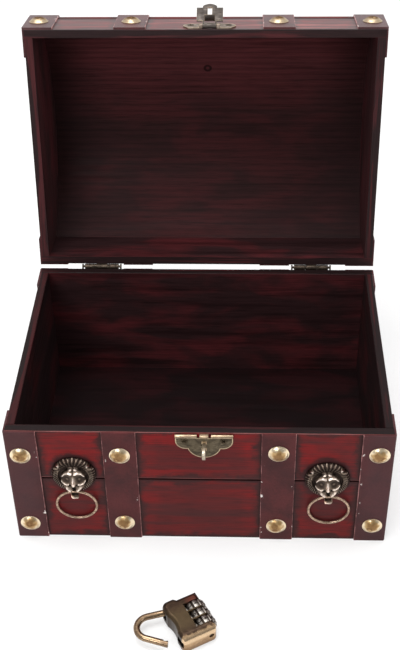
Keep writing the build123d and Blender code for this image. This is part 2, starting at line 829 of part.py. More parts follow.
def padlock_body():
    """The cast body, slotted for the wheels, the shackle's eye, its foot and the latch."""
    body = extrude(lock_outline(), lock_thickness)
    body = fillet(body.edges().group_by(Axis.Z)[-1] + body.edges().group_by(Axis.Z)[0], lock_edge_round)
    body = body & lock_side_form()
    slot_width = wheel_width + 2 * wheel_side_gap
    pocket = wheel_radius + wheel_pocket_gap
    for x in wheel_centres:
        start = (x - slot_width / 2, wheel_axis_height, lock_middle)
        end = (x + slot_width / 2, wheel_axis_height, lock_middle)
        body = body - rod(start, end, pocket)
        window_top = wheel_axis_height + pocket
        top = lock_thickness + overrun
        body = body - block(start[0], end[0], -overrun, window_top, lock_middle, top)
        body = body - block(start[0], end[0], -overrun, wheel_axis_height, -overrun, top)
    half = lock_width / 2
    start = (-half - overrun, wheel_axis_height, lock_middle)
    body = body - rod(start, (half - axle_wall, wheel_axis_height, lock_middle), axle_radius)
    slot_half = shackle_radius + shackle_slot_gap
    eye_clear = shackle_eye_radius + shackle_slot_gap
    boss_x = half + lock_boss_step
    lean = (lock_height - shackle_pivot_y) * math.tan(shackle_tangent)
    x0 = shackle_pivot_x - lean - shackle_radius / math.cos(shackle_tangent) - shackle_slot_gap
    low = lock_middle - slot_half
    high = lock_middle + slot_half
    body = body - block(x0, boss_x + overrun, shackle_pivot_y, lock_height + overrun, low, high)
    body = body - Pos(shackle_pivot_x, shackle_pivot_y, lock_middle) * Cylinder(eye_clear, 2 * slot_half)
    foot_x0 = shackle_foot_x - shackle_radius - shackle_slot_gap
    foot_y0 = shackle_foot_y - shackle_slot_gap
    body = body - block(foot_x0, foot_pocket_x, foot_y0, lock_height + overrun, low, high)
    body = body - latch_channel()
    return lock_place * (body - shackle_pin_blank())


def latch_channel():
    """The room in which the latch and its spring lie, open to the shackle's foot."""
    half = latch_width / 2 + latch_gap
    x0 = foot_pocket_x - latch_throw
    x1 = latch_rest_x + latch_length + latch_spring_room
    return block(x0, x1, latch_y - half, latch_y + half, lock_middle - half, lock_middle + half)


def latch():
    """The sliding bar that holds the shackle's foot, drawn back while the lock is open."""
    half = latch_width / 2
    x0 = latch_rest_x
    x1 = x0 + latch_length
    y0 = latch_y - half
    y1 = latch_y + half
    return lock_place * block(x0, x1, y0, y1, lock_middle - half, lock_middle + half)


def latch_spring():
    """The folded strip that pushes the latch."""
    half = latch_width / 2
    fold = half - latch_spring_strip
    x0 = latch_rest_x + latch_length + latch_spring_strip / 2
    x1 = latch_rest_x + latch_length + latch_spring_room - latch_spring_strip / 2
    pitch = (x1 - x0) / (2 * latch_spring_folds)
    points = []
    for i in range(2 * latch_spring_folds + 1):
        points.append((x0 + i * pitch, latch_y + (fold if i % 2 else -fold)))
    folded = trace(Polyline(*points), latch_spring_strip)
    return lock_place * Pos(0, 0, lock_middle - half) * extrude(folded, 2 * half)


def wheel(x):
    """A number wheel, fluted where the thumb turns it."""
    half = wheel_width / 2
    start = (x - half, wheel_axis_height, lock_middle)
    end = (x + half, wheel_axis_height, lock_middle)
    disc = rod(start, end, wheel_radius)
    for i in range(wheel_flutes):
        turn = math.radians(360 * (i + 0.5) / wheel_flutes)
        y = wheel_axis_height + wheel_radius * math.sin(turn)
        z = lock_middle + wheel_radius * math.cos(turn)
        disc = disc - rod((x - half, y, z), (x + half, y, z), wheel_flute_radius)
    bore = axle_radius + axle_running_gap
    return lock_place * (disc - rod(start, end, bore))


def axle():
    """The pin that the wheels turn on, sunk a little in the side of the body."""
    half = lock_width / 2
    start = (-half + axle_recess, wheel_axis_height, lock_middle)
    end = (half - axle_wall, wheel_axis_height, lock_middle)
    return lock_place * rod(start, end, axle_radius)


def shackle_pin_blank():
    """The pivot pin, which also cuts its own hole, in the lock's own frame."""
    length = lock_thickness - 2 * brass_plate
    return Pos(shackle_pivot_x, shackle_pivot_y, lock_middle) * Cylinder(shackle_pin_radius, length)


def shackle():
    """A horseshoe shackle on its pivot, drawn closed and turned open."""
    cos_t = math.cos(shackle_tangent)
    sin_t = math.sin(shackle_tangent)
    bow_right = (shackle_bow_x + shackle_bow_radius * cos_t, shackle_bow_y + shackle_bow_radius * sin_t)
    bow_left = (2 * shackle_bow_x - bow_right[0], bow_right[1])
    pivot = (shackle_pivot_x, shackle_pivot_y)
    foot = (shackle_foot_x, shackle_pivot_y)
    turn_axis = Axis((shackle_bow_x, shackle_bow_y, 0), (0, 0, 1))
    start = Plane(origin=bow_right, z_dir=Vector(*bow_right) - Vector(*pivot))
    bow = revolve(start * Circle(shackle_radius), turn_axis, 180 - 2 * math.degrees(shackle_tangent))
    bow = bow + rod(pivot, bow_right, shackle_radius) + rod(foot, bow_left, shackle_radius)
    reach = 2 * shackle_bow_radius
    bow = bow - block(foot[0] - reach, foot[0] + reach, foot[1] - reach, shackle_foot_y, -reach, reach)
    bow = bow + Pos(*pivot) * Cylinder(shackle_eye_radius, shackle_eye_thickness)
    bow = bow - Pos(*pivot) * Cylinder(shackle_pin_radius + shackle_pin_gap, 4 * shackle_radius)
    return bow


def shackle_notch():
    """The notch in the free leg that the latch enters."""
    x0 = shackle_foot_x + shackle_radius - shackle_notch_depth
    half = shackle_notch_height / 2
    reach = 2 * shackle_radius
    return block(x0, x0 + reach, latch_y - half, latch_y + half, -reach, reach)


# Chest box

clasp_slots = [staple_blank()] + [screw(place) for place in clasp_screw_places]
nails = [mask_nail(place) for place in mask_nail_places]
stud_holes = [place * stud_shank() for place in box_stud_places]
lid_stud_holes = [place * stud_shank() for place in lid_stud_places]

save("front_panel", drill(long_panel(-1), clasp_slots + nails + stud_holes))
save("back_panel", drill(long_panel(1), [screw(place) for place in box_hinge_screws]))
save("left_panel", end_panel(-1))
save("right_panel", end_panel(1))
save("bottom_panel", bottom_panel())

for side, sign in (("left", -1), ("right", 1)):
    save("front_" + side + "_corner_strap", drill(corner_strap(sign, -1), stud_holes))
    save("front_" + side + "_strap", drill(flat_strap(sign * strap_x, -1), stud_holes))
    save("back_" + side + "_corner_strap", corner_strap(sign, 1))
    save("back_" + side + "_strap", flat_strap(sign * strap_x, 1))

save("box_studs", solids_of([stud(place) for place in box_stud_places]))
save("staple_plate", clasp_plate())
save("staple", staple())
save("staple_plate_screws", solids_of([screw(place) for place in clasp_screw_places]))

for side, place in mask_places.items():
    save(side + "_lion_mask", lion_mask(place))
    save(side + "_ring", ring(place))
save("lion_mask_nails", solids_of(nails))

for side, x in hinge_centres.items():
    save(side + "_hinge_box_leaf", hinge_leaf(x, -1))
    save(side + "_hinge_pin", hinge_pin(x))
    save(side + "_hinge_lid_leaf", open_lid(hinge_leaf(x, 1)))
save("hinge_box_screws", solids_of([screw(place) for place in box_hinge_screws]))
save("hinge_lid_screws", open_lid(solids_of([screw(place) for place in lid_hinge_screws])))

# Lid

hasp_screws = [screw(place) for place in hasp_screw_places]
save("lid_front_wall", open_lid(drill(lid_wall(-1), hasp_screws + lid_stud_holes)))
save("lid_back_wall", open_lid(drill(lid_wall(1), [screw(place) for place in lid_hinge_screws])))
save("lid_dome", open_lid(dome_sheet()))
for side, sign in (("left", -1), ("right", 1)):
    save("lid_" + side + "_end", open_lid(lid_end(sign)))
    save("lid_" + side + "_edge_strap", open_lid(drill(lid_edge_strap(sign), lid_stud_holes)))
    save("lid_" + side + "_strap", open_lid(drill(lid_strap(sign * strap_x), lid_stud_holes)))
save("lid_studs", open_lid(solids_of([stud(place) for place in lid_stud_places])))
save("hasp_plate", open_lid(hasp_plate()))
save("hasp_plate_screws", open_lid(solids_of(hasp_screws)))
save("hasp_pin", open_lid(hasp_pin()))
save("hasp_flap", open_lid(hasp_flap()))

# Padlock

shackle_pivot_axis = Axis((shackle_pivot_x, shackle_pivot_y, lock_middle), (0, 0, 1))
closed_shackle = Pos(0, 0, lock_middle) * (shackle() - shackle_notch())
save("padlock_body", padlock_body())
save("shackle", lock_place * closed_shackle.rotate(shackle_pivot_axis, -shackle_open_angle))
save("shackle_pin", lock_place * shackle_pin_blank())
save("latch", latch())
save("latch_spring", latch_spring())
save("wheel_axle", axle())
for number, x in enumerate(wheel_centres, 1):
    save("number_wheel_" + str(number), wheel(x))
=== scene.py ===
import bpy
import bmesh
import json
import math
import random
from mathutils import Matrix, Vector, noise


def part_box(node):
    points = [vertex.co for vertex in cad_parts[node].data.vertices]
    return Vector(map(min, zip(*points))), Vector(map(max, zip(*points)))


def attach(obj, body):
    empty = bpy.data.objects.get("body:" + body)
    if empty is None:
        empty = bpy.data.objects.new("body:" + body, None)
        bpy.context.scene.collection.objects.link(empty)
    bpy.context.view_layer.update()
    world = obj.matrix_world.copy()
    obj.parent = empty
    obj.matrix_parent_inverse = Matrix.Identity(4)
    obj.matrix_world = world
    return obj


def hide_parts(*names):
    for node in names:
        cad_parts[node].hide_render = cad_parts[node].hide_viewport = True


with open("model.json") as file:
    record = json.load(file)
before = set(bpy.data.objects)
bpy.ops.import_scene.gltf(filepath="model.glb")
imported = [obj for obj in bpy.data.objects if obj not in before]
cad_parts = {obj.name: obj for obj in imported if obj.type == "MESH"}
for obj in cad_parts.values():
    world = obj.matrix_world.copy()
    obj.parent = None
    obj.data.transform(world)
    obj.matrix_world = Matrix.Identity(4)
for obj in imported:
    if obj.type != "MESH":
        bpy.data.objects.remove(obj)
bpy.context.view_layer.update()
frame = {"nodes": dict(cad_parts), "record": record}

scene = bpy.context.scene
nodes = frame["nodes"]
joints = {joint["name"]: joint for joint in frame["record"]["behaviour"]["joints"]}
mm = 0.001
print("frame loaded,", len(nodes), "nodes")


# The lid's own frame: shut, before it was turned back on its hinges

lidPin = Vector(joints["lid_hinge"]["pos_m"])
lidAngle = math.radians(joints["lid_hinge"]["range_deg"][1])
lidTurn = Matrix.Translation(lidPin) @ Matrix.Rotation(-lidAngle, 4, "X") @ Matrix.Translation(-lidPin)
lidBack = lidTurn.inverted()

chest = {
    # millimetres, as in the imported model
    "halfWidth": 112.5,
    "halfDepth": 80.0,
    "board": 5.2,
    "rim": 90.0,
    "lidRim": 90.5,
    "plankLine": 51.0,
    "strapEdges": (36.5, 56.5, 94.7),
    "cornerEdge": 62.2,
    "arcRadius": 101.27,
    "arcCentre": 55.23,
    "arcFoot": 117.3,
    "masks": ((-74.8, 55.3), (75.8, 53.3)),
    "stainRadius": 13.5,
    "ceilingMark": (0.3, -39.5, 148.4),
}


# Camera at the photograph's viewing angle

photoView = {
    "eye": (23.71, -562.81, 554.84),
    "yaw": 2.55,
    "pitch": -38.61,
    "roll": 1.18,
    "focalPixels": 1161.48,
    "imageHeight": 650,
    "sensor": 36.0,
}


def addCamera(p):
    data = bpy.data.cameras.new("photoCamera")
    data.sensor_width = p["sensor"]
    data.lens = p["focalPixels"] * p["sensor"] / p["imageHeight"]
    turn = Matrix.Rotation(math.radians(p["yaw"]), 3, "Z")
    turn = turn @ Matrix.Rotation(math.radians(p["pitch"]), 3, "X")
    turn = turn @ Matrix.Rotation(math.radians(p["roll"]), 3, "Y")
    camera = bpy.data.objects.new("photoCamera", data)
    scene.collection.objects.link(camera)
    sight = Matrix((turn.col[0], turn.col[2], -turn.col[1])).transposed().to_4x4()
    camera.matrix_world = Matrix.Translation(Vector(p["eye"]) * mm) @ sight
    scene.camera = camera


addCamera(photoView)


# Shader helpers

def addNode(tree, kind, feeds=None, **settings):
    made = tree.nodes.new("ShaderNode" + kind)
    for key, value in settings.items():
        setattr(made, key, value)
    for key, value in (feeds or {}).items():
        if isinstance(value, bpy.types.NodeSocket):
            tree.links.new(value, made.inputs[key])
        else:
            made.inputs[key].default_value = value
    return made


def calc(tree, operation, a, b=0.5, c=0.5):
    return addNode(tree, "Math", {0: a, 1: b, 2: c}, operation=operation).outputs[0]


def ramp(tree, value, low, high, start=0.0, end=1.0):
    feeds = {0: value, 1: low, 2: high, 3: start, 4: end}
    return addNode(tree, "MapRange", feeds, interpolation_type="SMOOTHSTEP").outputs[0]


def line(tree, value, centre, half, start=1.0, end=0.0):
    away = calc(tree, "ABSOLUTE", calc(tree, "SUBTRACT", value, centre))
    return ramp(tree, away, half * 0.4, half, start, end)


def mixColour(tree, amount, first, second):
    made = addNode(tree, "Mix", {0: amount}, data_type="RGBA")
    for slot, value in ((6, first), (7, second)):
        if isinstance(value, bpy.types.NodeSocket):
            tree.links.new(value, made.inputs[slot])
        else:
            made.inputs[slot].default_value = (*value, 1)
    return made.outputs[2]


def spots(tree, vector, scale, detail=3.0, rough=0.5, distortion=0.0):
    feeds = {"Vector": vector, "Scale": scale, "Detail": detail}
    feeds |= {"Roughness": rough, "Distortion": distortion}
    return addNode(tree, "TexNoise", feeds).outputs["Fac"]


def stretch(tree, vector, scale, turn=(0, 0, 0)):
    return addNode(tree, "Mapping", {"Vector": vector, "Scale": scale, "Rotation": turn}).outputs[0]


def distanceTo(tree, place, spot):
    return addNode(tree, "VectorMath", {0: place, 1: spot}, operation="DISTANCE").outputs["Value"]


def newGroup(name, inputs, outputs):
    group = bpy.data.node_groups.new(name, "ShaderNodeTree")
    for label, kind, value in inputs:
        socket = group.interface.new_socket(label, in_out="INPUT", socket_type="NodeSocket" + kind)
        if value is not None:
            socket.default_value = value
    for label in outputs:
        group.interface.new_socket(label, in_out="OUTPUT", socket_type="NodeSocketFloat")
    return group, group.nodes.new("NodeGroupInput"), group.nodes.new("NodeGroupOutput")


def newMaterial(name):
    paint = bpy.data.materials.new(name)
    paint.use_nodes = True
    return paint, paint.node_tree, paint.node_tree.nodes["Principled BSDF"]


def pieceSpace(tree, inLid):
    place = addNode(tree, "TexCoord").outputs["Object"]
    if inLid:
        turn = {"Vector": place, "Location": lidBack.to_translation(), "Rotation": lidBack.to_euler()}
        place = addNode(tree, "Mapping", turn).outputs[0]
    return addNode(tree, "VectorMath", {0: place, 3: 1000.0}, operation="SCALE").outputs[0]  # millimetres


def addBump(tree, shader, height, strength, distance):
    made = addNode(tree, "Bump", {"Height": height, "Strength": strength, "Distance": distance})
    tree.links.new(made.outputs[0], shader.inputs["Normal"])


# Studio: pale floor, soft lamps, pale surroundings that fall off towards the viewer

studio = {
    "floorSize": 24.0,
    "floorColour": (0.50, 0.50, 0.50),
    "floorGlow": 0.50,
    "skyTop": 1.0,
    "skySide": 0.55,
    "skyBack": 1.15,
    "viewerSide": 0.34,
    "skyStrength": 0.95,
    "lamps": {
        # name: place, aim, size, watts
        "topBox": ((-0.15, 0.05, 1.3), (0.0, 0.02, 0.1), (0.9, 0.7), 10.0),
        "frontBox": ((-0.55, -1.1, 0.95), (0.0, -0.05, 0.05), (0.7, 0.5), 7.5),
        "sideBox": ((1.1, -0.45, 0.8), (0.0, 0.0, 0.1), (0.4, 0.8), 3.0),
    },
}


def addStudio(p):
    bm = bmesh.new()
    bmesh.ops.create_grid(bm, x_segments=1, y_segments=1, size=p["floorSize"] / 2)
    mesh = bpy.data.meshes.new("floor")
    bm.to_mesh(mesh)
    bm.free()
    floor = bpy.data.objects.new("floor", mesh)
    scene.collection.objects.link(floor)
    paint, tree, shader = newMaterial("paleFloor")
    shader.inputs["Base Color"].default_value = (*p["floorColour"], 1)
    shader.inputs["Roughness"].default_value = 0.7
    shader.inputs["Specular IOR Level"].default_value = 0.1
    shader.inputs["Emission Color"].default_value = (1, 1, 1, 1)
    shader.inputs["Emission Strength"].default_value = p["floorGlow"]
    mesh.materials.append(paint)

    world = bpy.data.worlds.new("studioWorld")
    world.use_nodes = True
    tree = world.node_tree
    sky = tree.nodes["Background"]
    sky.inputs["Strength"].default_value = p["skyStrength"]
    split = addNode(tree, "SeparateXYZ", {0: addNode(tree, "TexCoord").outputs["Generated"]})
    low = ramp(tree, split.outputs["Y"], 0.2, 0.95, p["skySide"], p["skyBack"])
    high = ramp(tree, split.outputs["Z"], 0.0, 0.7, low, p["skyTop"])
    behind = ramp(tree, split.outputs["Y"], -0.85, 0.1, p["viewerSide"], 1.0)
    tree.links.new(calc(tree, "MULTIPLY", high, behind), sky.inputs["Color"])
    scene.world = world

    for name, (place, aim, size, watts) in p["lamps"].items():
        light = bpy.data.lights.new(name, "AREA")
        light.shape = "RECTANGLE"
        light.size, light.size_y = size
        light.energy = watts
        lamp = bpy.data.objects.new(name, light)
        lamp.location = place
        lamp.rotation_euler = (Vector(aim) - Vector(place)).to_track_quat("-Z", "Y").to_euler()
        scene.collection.objects.link(lamp)


addStudio(studio)
scene.view_settings.view_transform = "Standard"
print("camera and studio set")


# Shared effects

def edgeDistanceGroup(p):
    inputs = [("Vector", "Vector", None)]
    group, start, end = newGroup("strapEdgeDistance", inputs, ["Along X", "Along Y"])
    split = addNode(group, "SeparateXYZ", {0: start.outputs[0]})
    across = calc(group, "ABSOLUTE", split.outputs["X"])
    near = None
    for edge in p["strapEdges"]:
        gap = calc(group, "ABSOLUTE", calc(group, "SUBTRACT", across, edge))
        near = gap if near is None else calc(group, "MINIMUM", near, gap)
    deep = calc(group, "ABSOLUTE", split.outputs["Y"])
    side = calc(group, "ABSOLUTE", calc(group, "SUBTRACT", deep, p["cornerEdge"]))
    group.links.new(near, end.inputs[0])
    group.links.new(side, end.inputs[1])
    return group


def grainGroup():
    layers = {
        # name: stretch along the grain, detail, roughness, distortion
        "Streaks": ((0.012, 0.26, 0.26), 4.0, 0.55, 0.4),
        "Blotches": ((0.022, 0.05, 0.05), 3.0, 0.5, 0.5),
        "Pores": ((0.06, 1.5, 1.5), 2.0, 0.6, 0.1),
        "Ragged": ((0.09, 0.12, 0.12), 4.0, 0.6, 0.3),
    }
    group, start, end = newGroup("woodStreaks", [("Vector", "Vector", None)], layers)
    for slot, (scale, detail, rough, distortion) in enumerate(layers.values()):
        layer = spots(group, stretch(group, start.outputs[0], scale), 1.0, detail, rough, distortion)
        group.links.new(layer, end.inputs[slot])
    return group


def wearGroup():
    inputs = [("Vector", "Vector", None), ("Scale", "Float", 1.0)]
    group, start, end = newGroup("metalWear", inputs, ["Patina", "Scratches", "Pits"])
    scaled = {0: start.outputs[0], 3: start.outputs[1]}
    place = addNode(group, "VectorMath", scaled, operation="SCALE").outputs[0]
    patina = spots(group, place, 0.35, 4.0, 0.62, 0.6)
    scratches = spots(group, stretch(group, place, (0.35, 2.5, 2.5), (0.3, 0.6, 0.5)), 1.2, 3.0, 0.7)
    group.links.new(ramp(group, patina, 0.36, 0.66), end.inputs[0])
    group.links.new(ramp(group, scratches, 0.5, 0.72), end.inputs[1])
    group.links.new(spots(group, place, 2.6, 2.0, 0.5), end.inputs[2])
    return group


strapEdgeDistance = edgeDistanceGroup(chest)
woodStreaks = grainGroup()
metalWear = wearGroup()


# Stained woods: red inside a ragged dark border, browner towards the middle of each field

woods = {
    "bright": (0.235, 0.0070, 0.0075),
    "red": (0.125, 0.0095, 0.0100),
    "brown": (0.050, 0.0120, 0.0120),
    "dark": (0.024, 0.0075, 0.0080),
    "rim": (0.0105, 0.0045, 0.0047),
    "rimRed": (0.048, 0.0070, 0.0080),
    "lidRim": (0.0210, 0.0100, 0.0105),
    "lidRimRed": (0.075, 0.0160, 0.0180),
    # rubbed: pale pink, used as painted sheen on the lid's long boards, and along the box's top and plank
    # edges as partly rubbed wear, partly painted highlight
    "rubbed": (0.420, 0.1600, 0.1500),
    "wall": (0.0300, 0.0125, 0.0135),
    "wallRed": (0.085, 0.0160, 0.0185),
    "endWall": (0.0170, 0.0085, 0.0090),
    "endWallRed": (0.038, 0.0085, 0.0095),
    "lidEndWall": (0.0450, 0.0180, 0.0190),
    "lidEndWallRed": (0.085, 0.0200, 0.0230),
    "floor": (0.0080, 0.0036, 0.0040),
    "floorRed": (0.018, 0.0042, 0.0050),
    "ceiling": (0.0480, 0.0190, 0.0200),
    "ceilingRed": (0.125, 0.0260, 0.0290),
    # painted light on the lid's ceiling towards its front
    "paintedFrontLight": (0.290, 0.0720, 0.0800),
    "crack": (0.006, 0.0030, 0.0030),
}


stain = {
    # millimetres, and shares of one colour in another
    "ragged": 18.0,
    "redFrom": 6.0,
    "brownFrom": 15.0,
    "brownShare": 0.42,
    "boxLift": (0.34, 0.80),  # below and above the line between the planks
    "lidLift": 0.2,
}


def insideTone(tree, grain, plain, red):
    tone = mixColour(tree, ramp(tree, grain.outputs["Blotches"], 0.4, 0.68), plain, red)
    cracks = ramp(tree, grain.outputs["Streaks"], 0.3, 0.55, 0.5, 0.0)
    return mixColour(tree, cracks, tone, woods["crack"])


def maskStain(tree, x, y, z, p):
    # distance to the nearer lion mask, and 1 in the chest's back half, which has no masks
    near = None
    for cx, cz in p["masks"]:
        across = calc(tree, "POWER", calc(tree, "SUBTRACT", x, cx), 2.0)
        up = calc(tree, "POWER", calc(tree, "SUBTRACT", z, cz), 2.0)
        away = calc(tree, "SQRT", calc(tree, "ADD", across, up))
        near = away if near is None else calc(tree, "MINIMUM", near, away)
    return near, calc(tree, "SUBTRACT", 1.0, calc(tree, "LESS_THAN", y, 0.0))


def finishWood(tree, shader, colour, grain, gloss=0.13):
    pores, streaks = grain.outputs["Pores"], grain.outputs["Streaks"]
    colour = mixColour(tree, ramp(tree, pores, 0.3, 0.55, 0.4, 0.0), colour, woods["crack"])
    tree.links.new(colour, shader.inputs["Base Color"])
    tree.links.new(ramp(tree, streaks, 0.3, 0.7, 0.42, 0.56), shader.inputs["Roughness"])
    shader.inputs["Specular IOR Level"].default_value = gloss
    addBump(tree, shader, calc(tree, "ADD", pores, streaks), 0.22, 0.00022)


varnishLook = {
    "weight": 0.75,
    "roughness": 0.5,
    "behindFront": (0.1, 0.7),  # it fades out between these depths
}


def varnish(tree, shader, y, p):
    # a soft gloss on the front of the lid only
    start, end = (depth - chest["halfDepth"] for depth in p["behindFront"])
    tree.links.new(ramp(tree, y, start, end, p["weight"], 0.0), shader.inputs["Coat Weight"])
    shader.inputs["Coat Roughness"].default_value = p["roughness"]


def boardWood(name, p, inLid=False, endBoard=False):
    paint, tree, shader = newMaterial(name)
    place = pieceSpace(tree, inLid)
    x, y, z = addNode(tree, "SeparateXYZ", {0: place}).outputs
    along = stretch(tree, place, (1, 1, 1), (0, 0, math.pi / 2)) if endBoard else place
    grain = addNode(tree, "Group", {0: along}, node_tree=woodStreaks)
    edges = addNode(tree, "Group", {0: place}, node_tree=strapEdgeDistance)
    near = edges.outputs[1 if endBoard else 0]
    low = calc(tree, "SUBTRACT", z, p["lidRim"] if inLid else 0.0)
    if inLid:
        toArc = calc(tree, "SUBTRACT", p["arcFoot"], z)
        border = calc(tree, "MINIMUM", near, calc(tree, "MINIMUM", low, toArc))
        lift = stain["lidLift"]
    else:
        toLine = calc(tree, "ABSOLUTE", calc(tree, "SUBTRACT", z, p["plankLine"]))
        toRim = calc(tree, "SUBTRACT", p["rim"], z)
        border = calc(tree, "MINIMUM", near, calc(tree, "MINIMUM", low, toLine))
        border = calc(tree, "MINIMUM", border, calc(tree, "ADD", toRim, 2.0))
        lift = ramp(tree, z, p["plankLine"] - 1, p["plankLine"] + 1, *stain["boxLift"])
        if not endBoard:
            away, behind = maskStain(tree, x, y, z, p)
            halo = calc(tree, "MULTIPLY", calc(tree, "SUBTRACT", away, p["stainRadius"]), 1.4)
            border = calc(tree, "MINIMUM", border, calc(tree, "MULTIPLY_ADD", behind, 99.0, halo))
    ragged = calc(tree, "MULTIPLY_ADD", grain.outputs["Ragged"], stain["ragged"], -stain["ragged"] / 2)
    inward = calc(tree, "ADD", border, ragged)
    shade = ramp(tree, inward, 0.5, stain["redFrom"])
    middle = ramp(tree, inward, stain["redFrom"], stain["brownFrom"], 0.0, stain["brownShare"])
    streak = grain.outputs["Streaks"]
    red = mixColour(tree, lift, woods["red"], woods["bright"])
    red = mixColour(tree, middle, red, woods["brown"])
    red = mixColour(tree, ramp(tree, streak, 0.3, 0.62, 0.7, 0.0), red, woods["brown"])
    blotch = ramp(tree, grain.outputs["Blotches"], 0.42, 0.66, 0.0, 0.4)
    red = mixColour(tree, blotch, red, woods["brown"])
    outer = mixColour(tree, shade, woods["brown"], red)
    outer = mixColour(tree, ramp(tree, border, 0.0, 2.5, 0.6, 0.0), outer, woods["dark"])
    if inLid and not endBoard:
        # painted sheen: pale pink streaks over the outside of the lid's long boards
        paintedSheenStreaks = ramp(tree, streak, 0.5, 0.66, 0.0, 0.5)
        outer = mixColour(tree, paintedSheenStreaks, outer, woods["rubbed"])
        outer = mixColour(tree, line(tree, z, p["arcFoot"], 0.5), outer, woods["crack"])
    elif not inLid:
        # pale broken lines along the top edge and the upper plank's lower edge: partly rubbed wear,
        # partly painted highlight
        thin = ramp(tree, streak, 0.32, 0.55, 0.15, 1.0)
        topEdgeWearAndHighlight = calc(tree, "MULTIPLY", line(tree, z, p["rim"] - 0.55, 0.5), thin)
        plankEdgeWearAndHighlight = calc(tree, "MULTIPLY", line(tree, z, p["plankLine"] + 0.95, 0.4), thin)
        outer = mixColour(tree, calc(tree, "MULTIPLY", topEdgeWearAndHighlight, 0.7), outer, woods["rubbed"])
        outer = mixColour(tree, calc(tree, "MULTIPLY", plankEdgeWearAndHighlight, 0.32), outer, woods["rubbed"])
        outer = mixColour(tree, line(tree, z, p["plankLine"], 0.6), outer, woods["crack"])
    wall = calc(tree, "ABSOLUTE", x if endBoard else y)
    face = (p["halfWidth"] if endBoard else p["halfDepth"]) - p["board"]
    inside = "lidEndWall" if inLid and endBoard else "endWall" if endBoard else "wall"
    inner = insideTone(tree, grain, woods[inside], woods[inside + "Red"])
    colour = mixColour(tree, ramp(tree, wall, face + 0.1, face + 0.5), inner, outer)
    top = calc(tree, "LESS_THAN", low, 0.2) if inLid else calc(tree, "GREATER_THAN", z, p["rim"] - 0.3)
    rim = "lidRim" if inLid else "rim"
    rimTone = mixColour(tree, ramp(tree, streak, 0.52, 0.64, 0.0, 0.8), woods[rim], woods[rim + "Red"])
    colour = mixColour(tree, top, colour, rimTone)
    finishWood(tree, shader, colour, grain)
    if inLid and not endBoard:
        varnish(tree, shader, y, varnishLook)
    return paint


def floorWood(name):
    paint, tree, shader = newMaterial(name)
    grain = addNode(tree, "Group", {0: pieceSpace(tree, False)}, node_tree=woodStreaks)
    finishWood(tree, shader, insideTone(tree, grain, woods["floor"], woods["floorRed"]), grain, 0.08)
    return paint


def domeWood(name, p):
    paint, tree, shader = newMaterial(name)
    place = pieceSpace(tree, True)
    split = addNode(tree, "SeparateXYZ", {0: place})
    grain = addNode(tree, "Group", {0: place}, node_tree=woodStreaks)
    edges = addNode(tree, "Group", {0: place}, node_tree=strapEdgeDistance)
    flat = addNode(tree, "CombineXYZ", {1: split.outputs["Y"], 2: split.outputs["Z"]}).outputs[0]
    radius = distanceTo(tree, flat, (0.0, 0.0, p["arcCentre"]))
    streak = grain.outputs["Streaks"]
    ragged = calc(tree, "MULTIPLY_ADD", grain.outputs["Ragged"], stain["ragged"], -stain["ragged"] / 2)
    shade = ramp(tree, calc(tree, "ADD", edges.outputs[0], ragged), 0.5, 8.0)
    red = mixColour(tree, ramp(tree, streak, 0.35, 0.6, 0.7, 0.0), woods["red"], woods["brown"])
    outer = mixColour(tree, shade, woods["brown"], red)
    across = calc(tree, "ABSOLUTE", split.outputs["X"])
    middle = ramp(tree, across, 70.0, 105.0, 1.0, 0.25)
    tone = calc(tree, "MULTIPLY", middle, ramp(tree, grain.outputs["Blotches"], 0.36, 0.62, 0.3, 1.0))
    inner = mixColour(tree, tone, woods["ceiling"], woods["ceilingRed"])
    # painted light: the ceiling turns paler and redder towards the lid's front, fading out towards the
    # end walls
    frontLightShare = ramp(tree, split.outputs["Y"], -75.0, 10.0, 0.75, 0.0)
    inner = mixColour(tree, calc(tree, "MULTIPLY", frontLightShare, middle), inner, woods["paintedFrontLight"])
    inner = mixColour(tree, ramp(tree, streak, 0.3, 0.5, 0.35, 0.0), inner, woods["crack"])
    mark = line(tree, distanceTo(tree, place, p["ceilingMark"]), 2.0, 1.2, 0.8, 0.0)
    inner = mixColour(tree, mark, inner, woods["crack"])
    colour = mixColour(tree, ramp(tree, radius, p["arcRadius"] + 0.3, p["arcRadius"] + 0.9), inner, outer)
    colour = mixColour(tree, line(tree, radius, p["arcRadius"] + 0.3, 0.5), colour, woods["crack"])
    finishWood(tree, shader, colour, grain, 0.07)
    return paint


longBoard = boardWood("longBoardWood", chest)
endBoard = boardWood("endBoardWood", chest, endBoard=True)
lidLongBoard = boardWood("lidLongBoardWood", chest, inLid=True)
lidEndBoard = boardWood("lidEndBoardWood", chest, inLid=True, endBoard=True)
bottomBoard = floorWood("bottomBoardWood")
domeBoard = domeWood("domeBoardWood", chest)


# Imitation leather straps with pale edges, partly rubbed wear and partly painted highlight

strapLook = {
    "brown": (0.090, 0.0185, 0.0195),
    "dark": (0.046, 0.0125, 0.0135),
    "grey": (0.062, 0.0270, 0.0300),
    # edge: the pale strap edges, partly rubbed wear, partly painted highlight
    "edge": (0.50, 0.24, 0.23),
    "chip": (0.80, 0.72, 0.68),
    "ribPitch": 0.8,
    "gloss": 0.15,
}


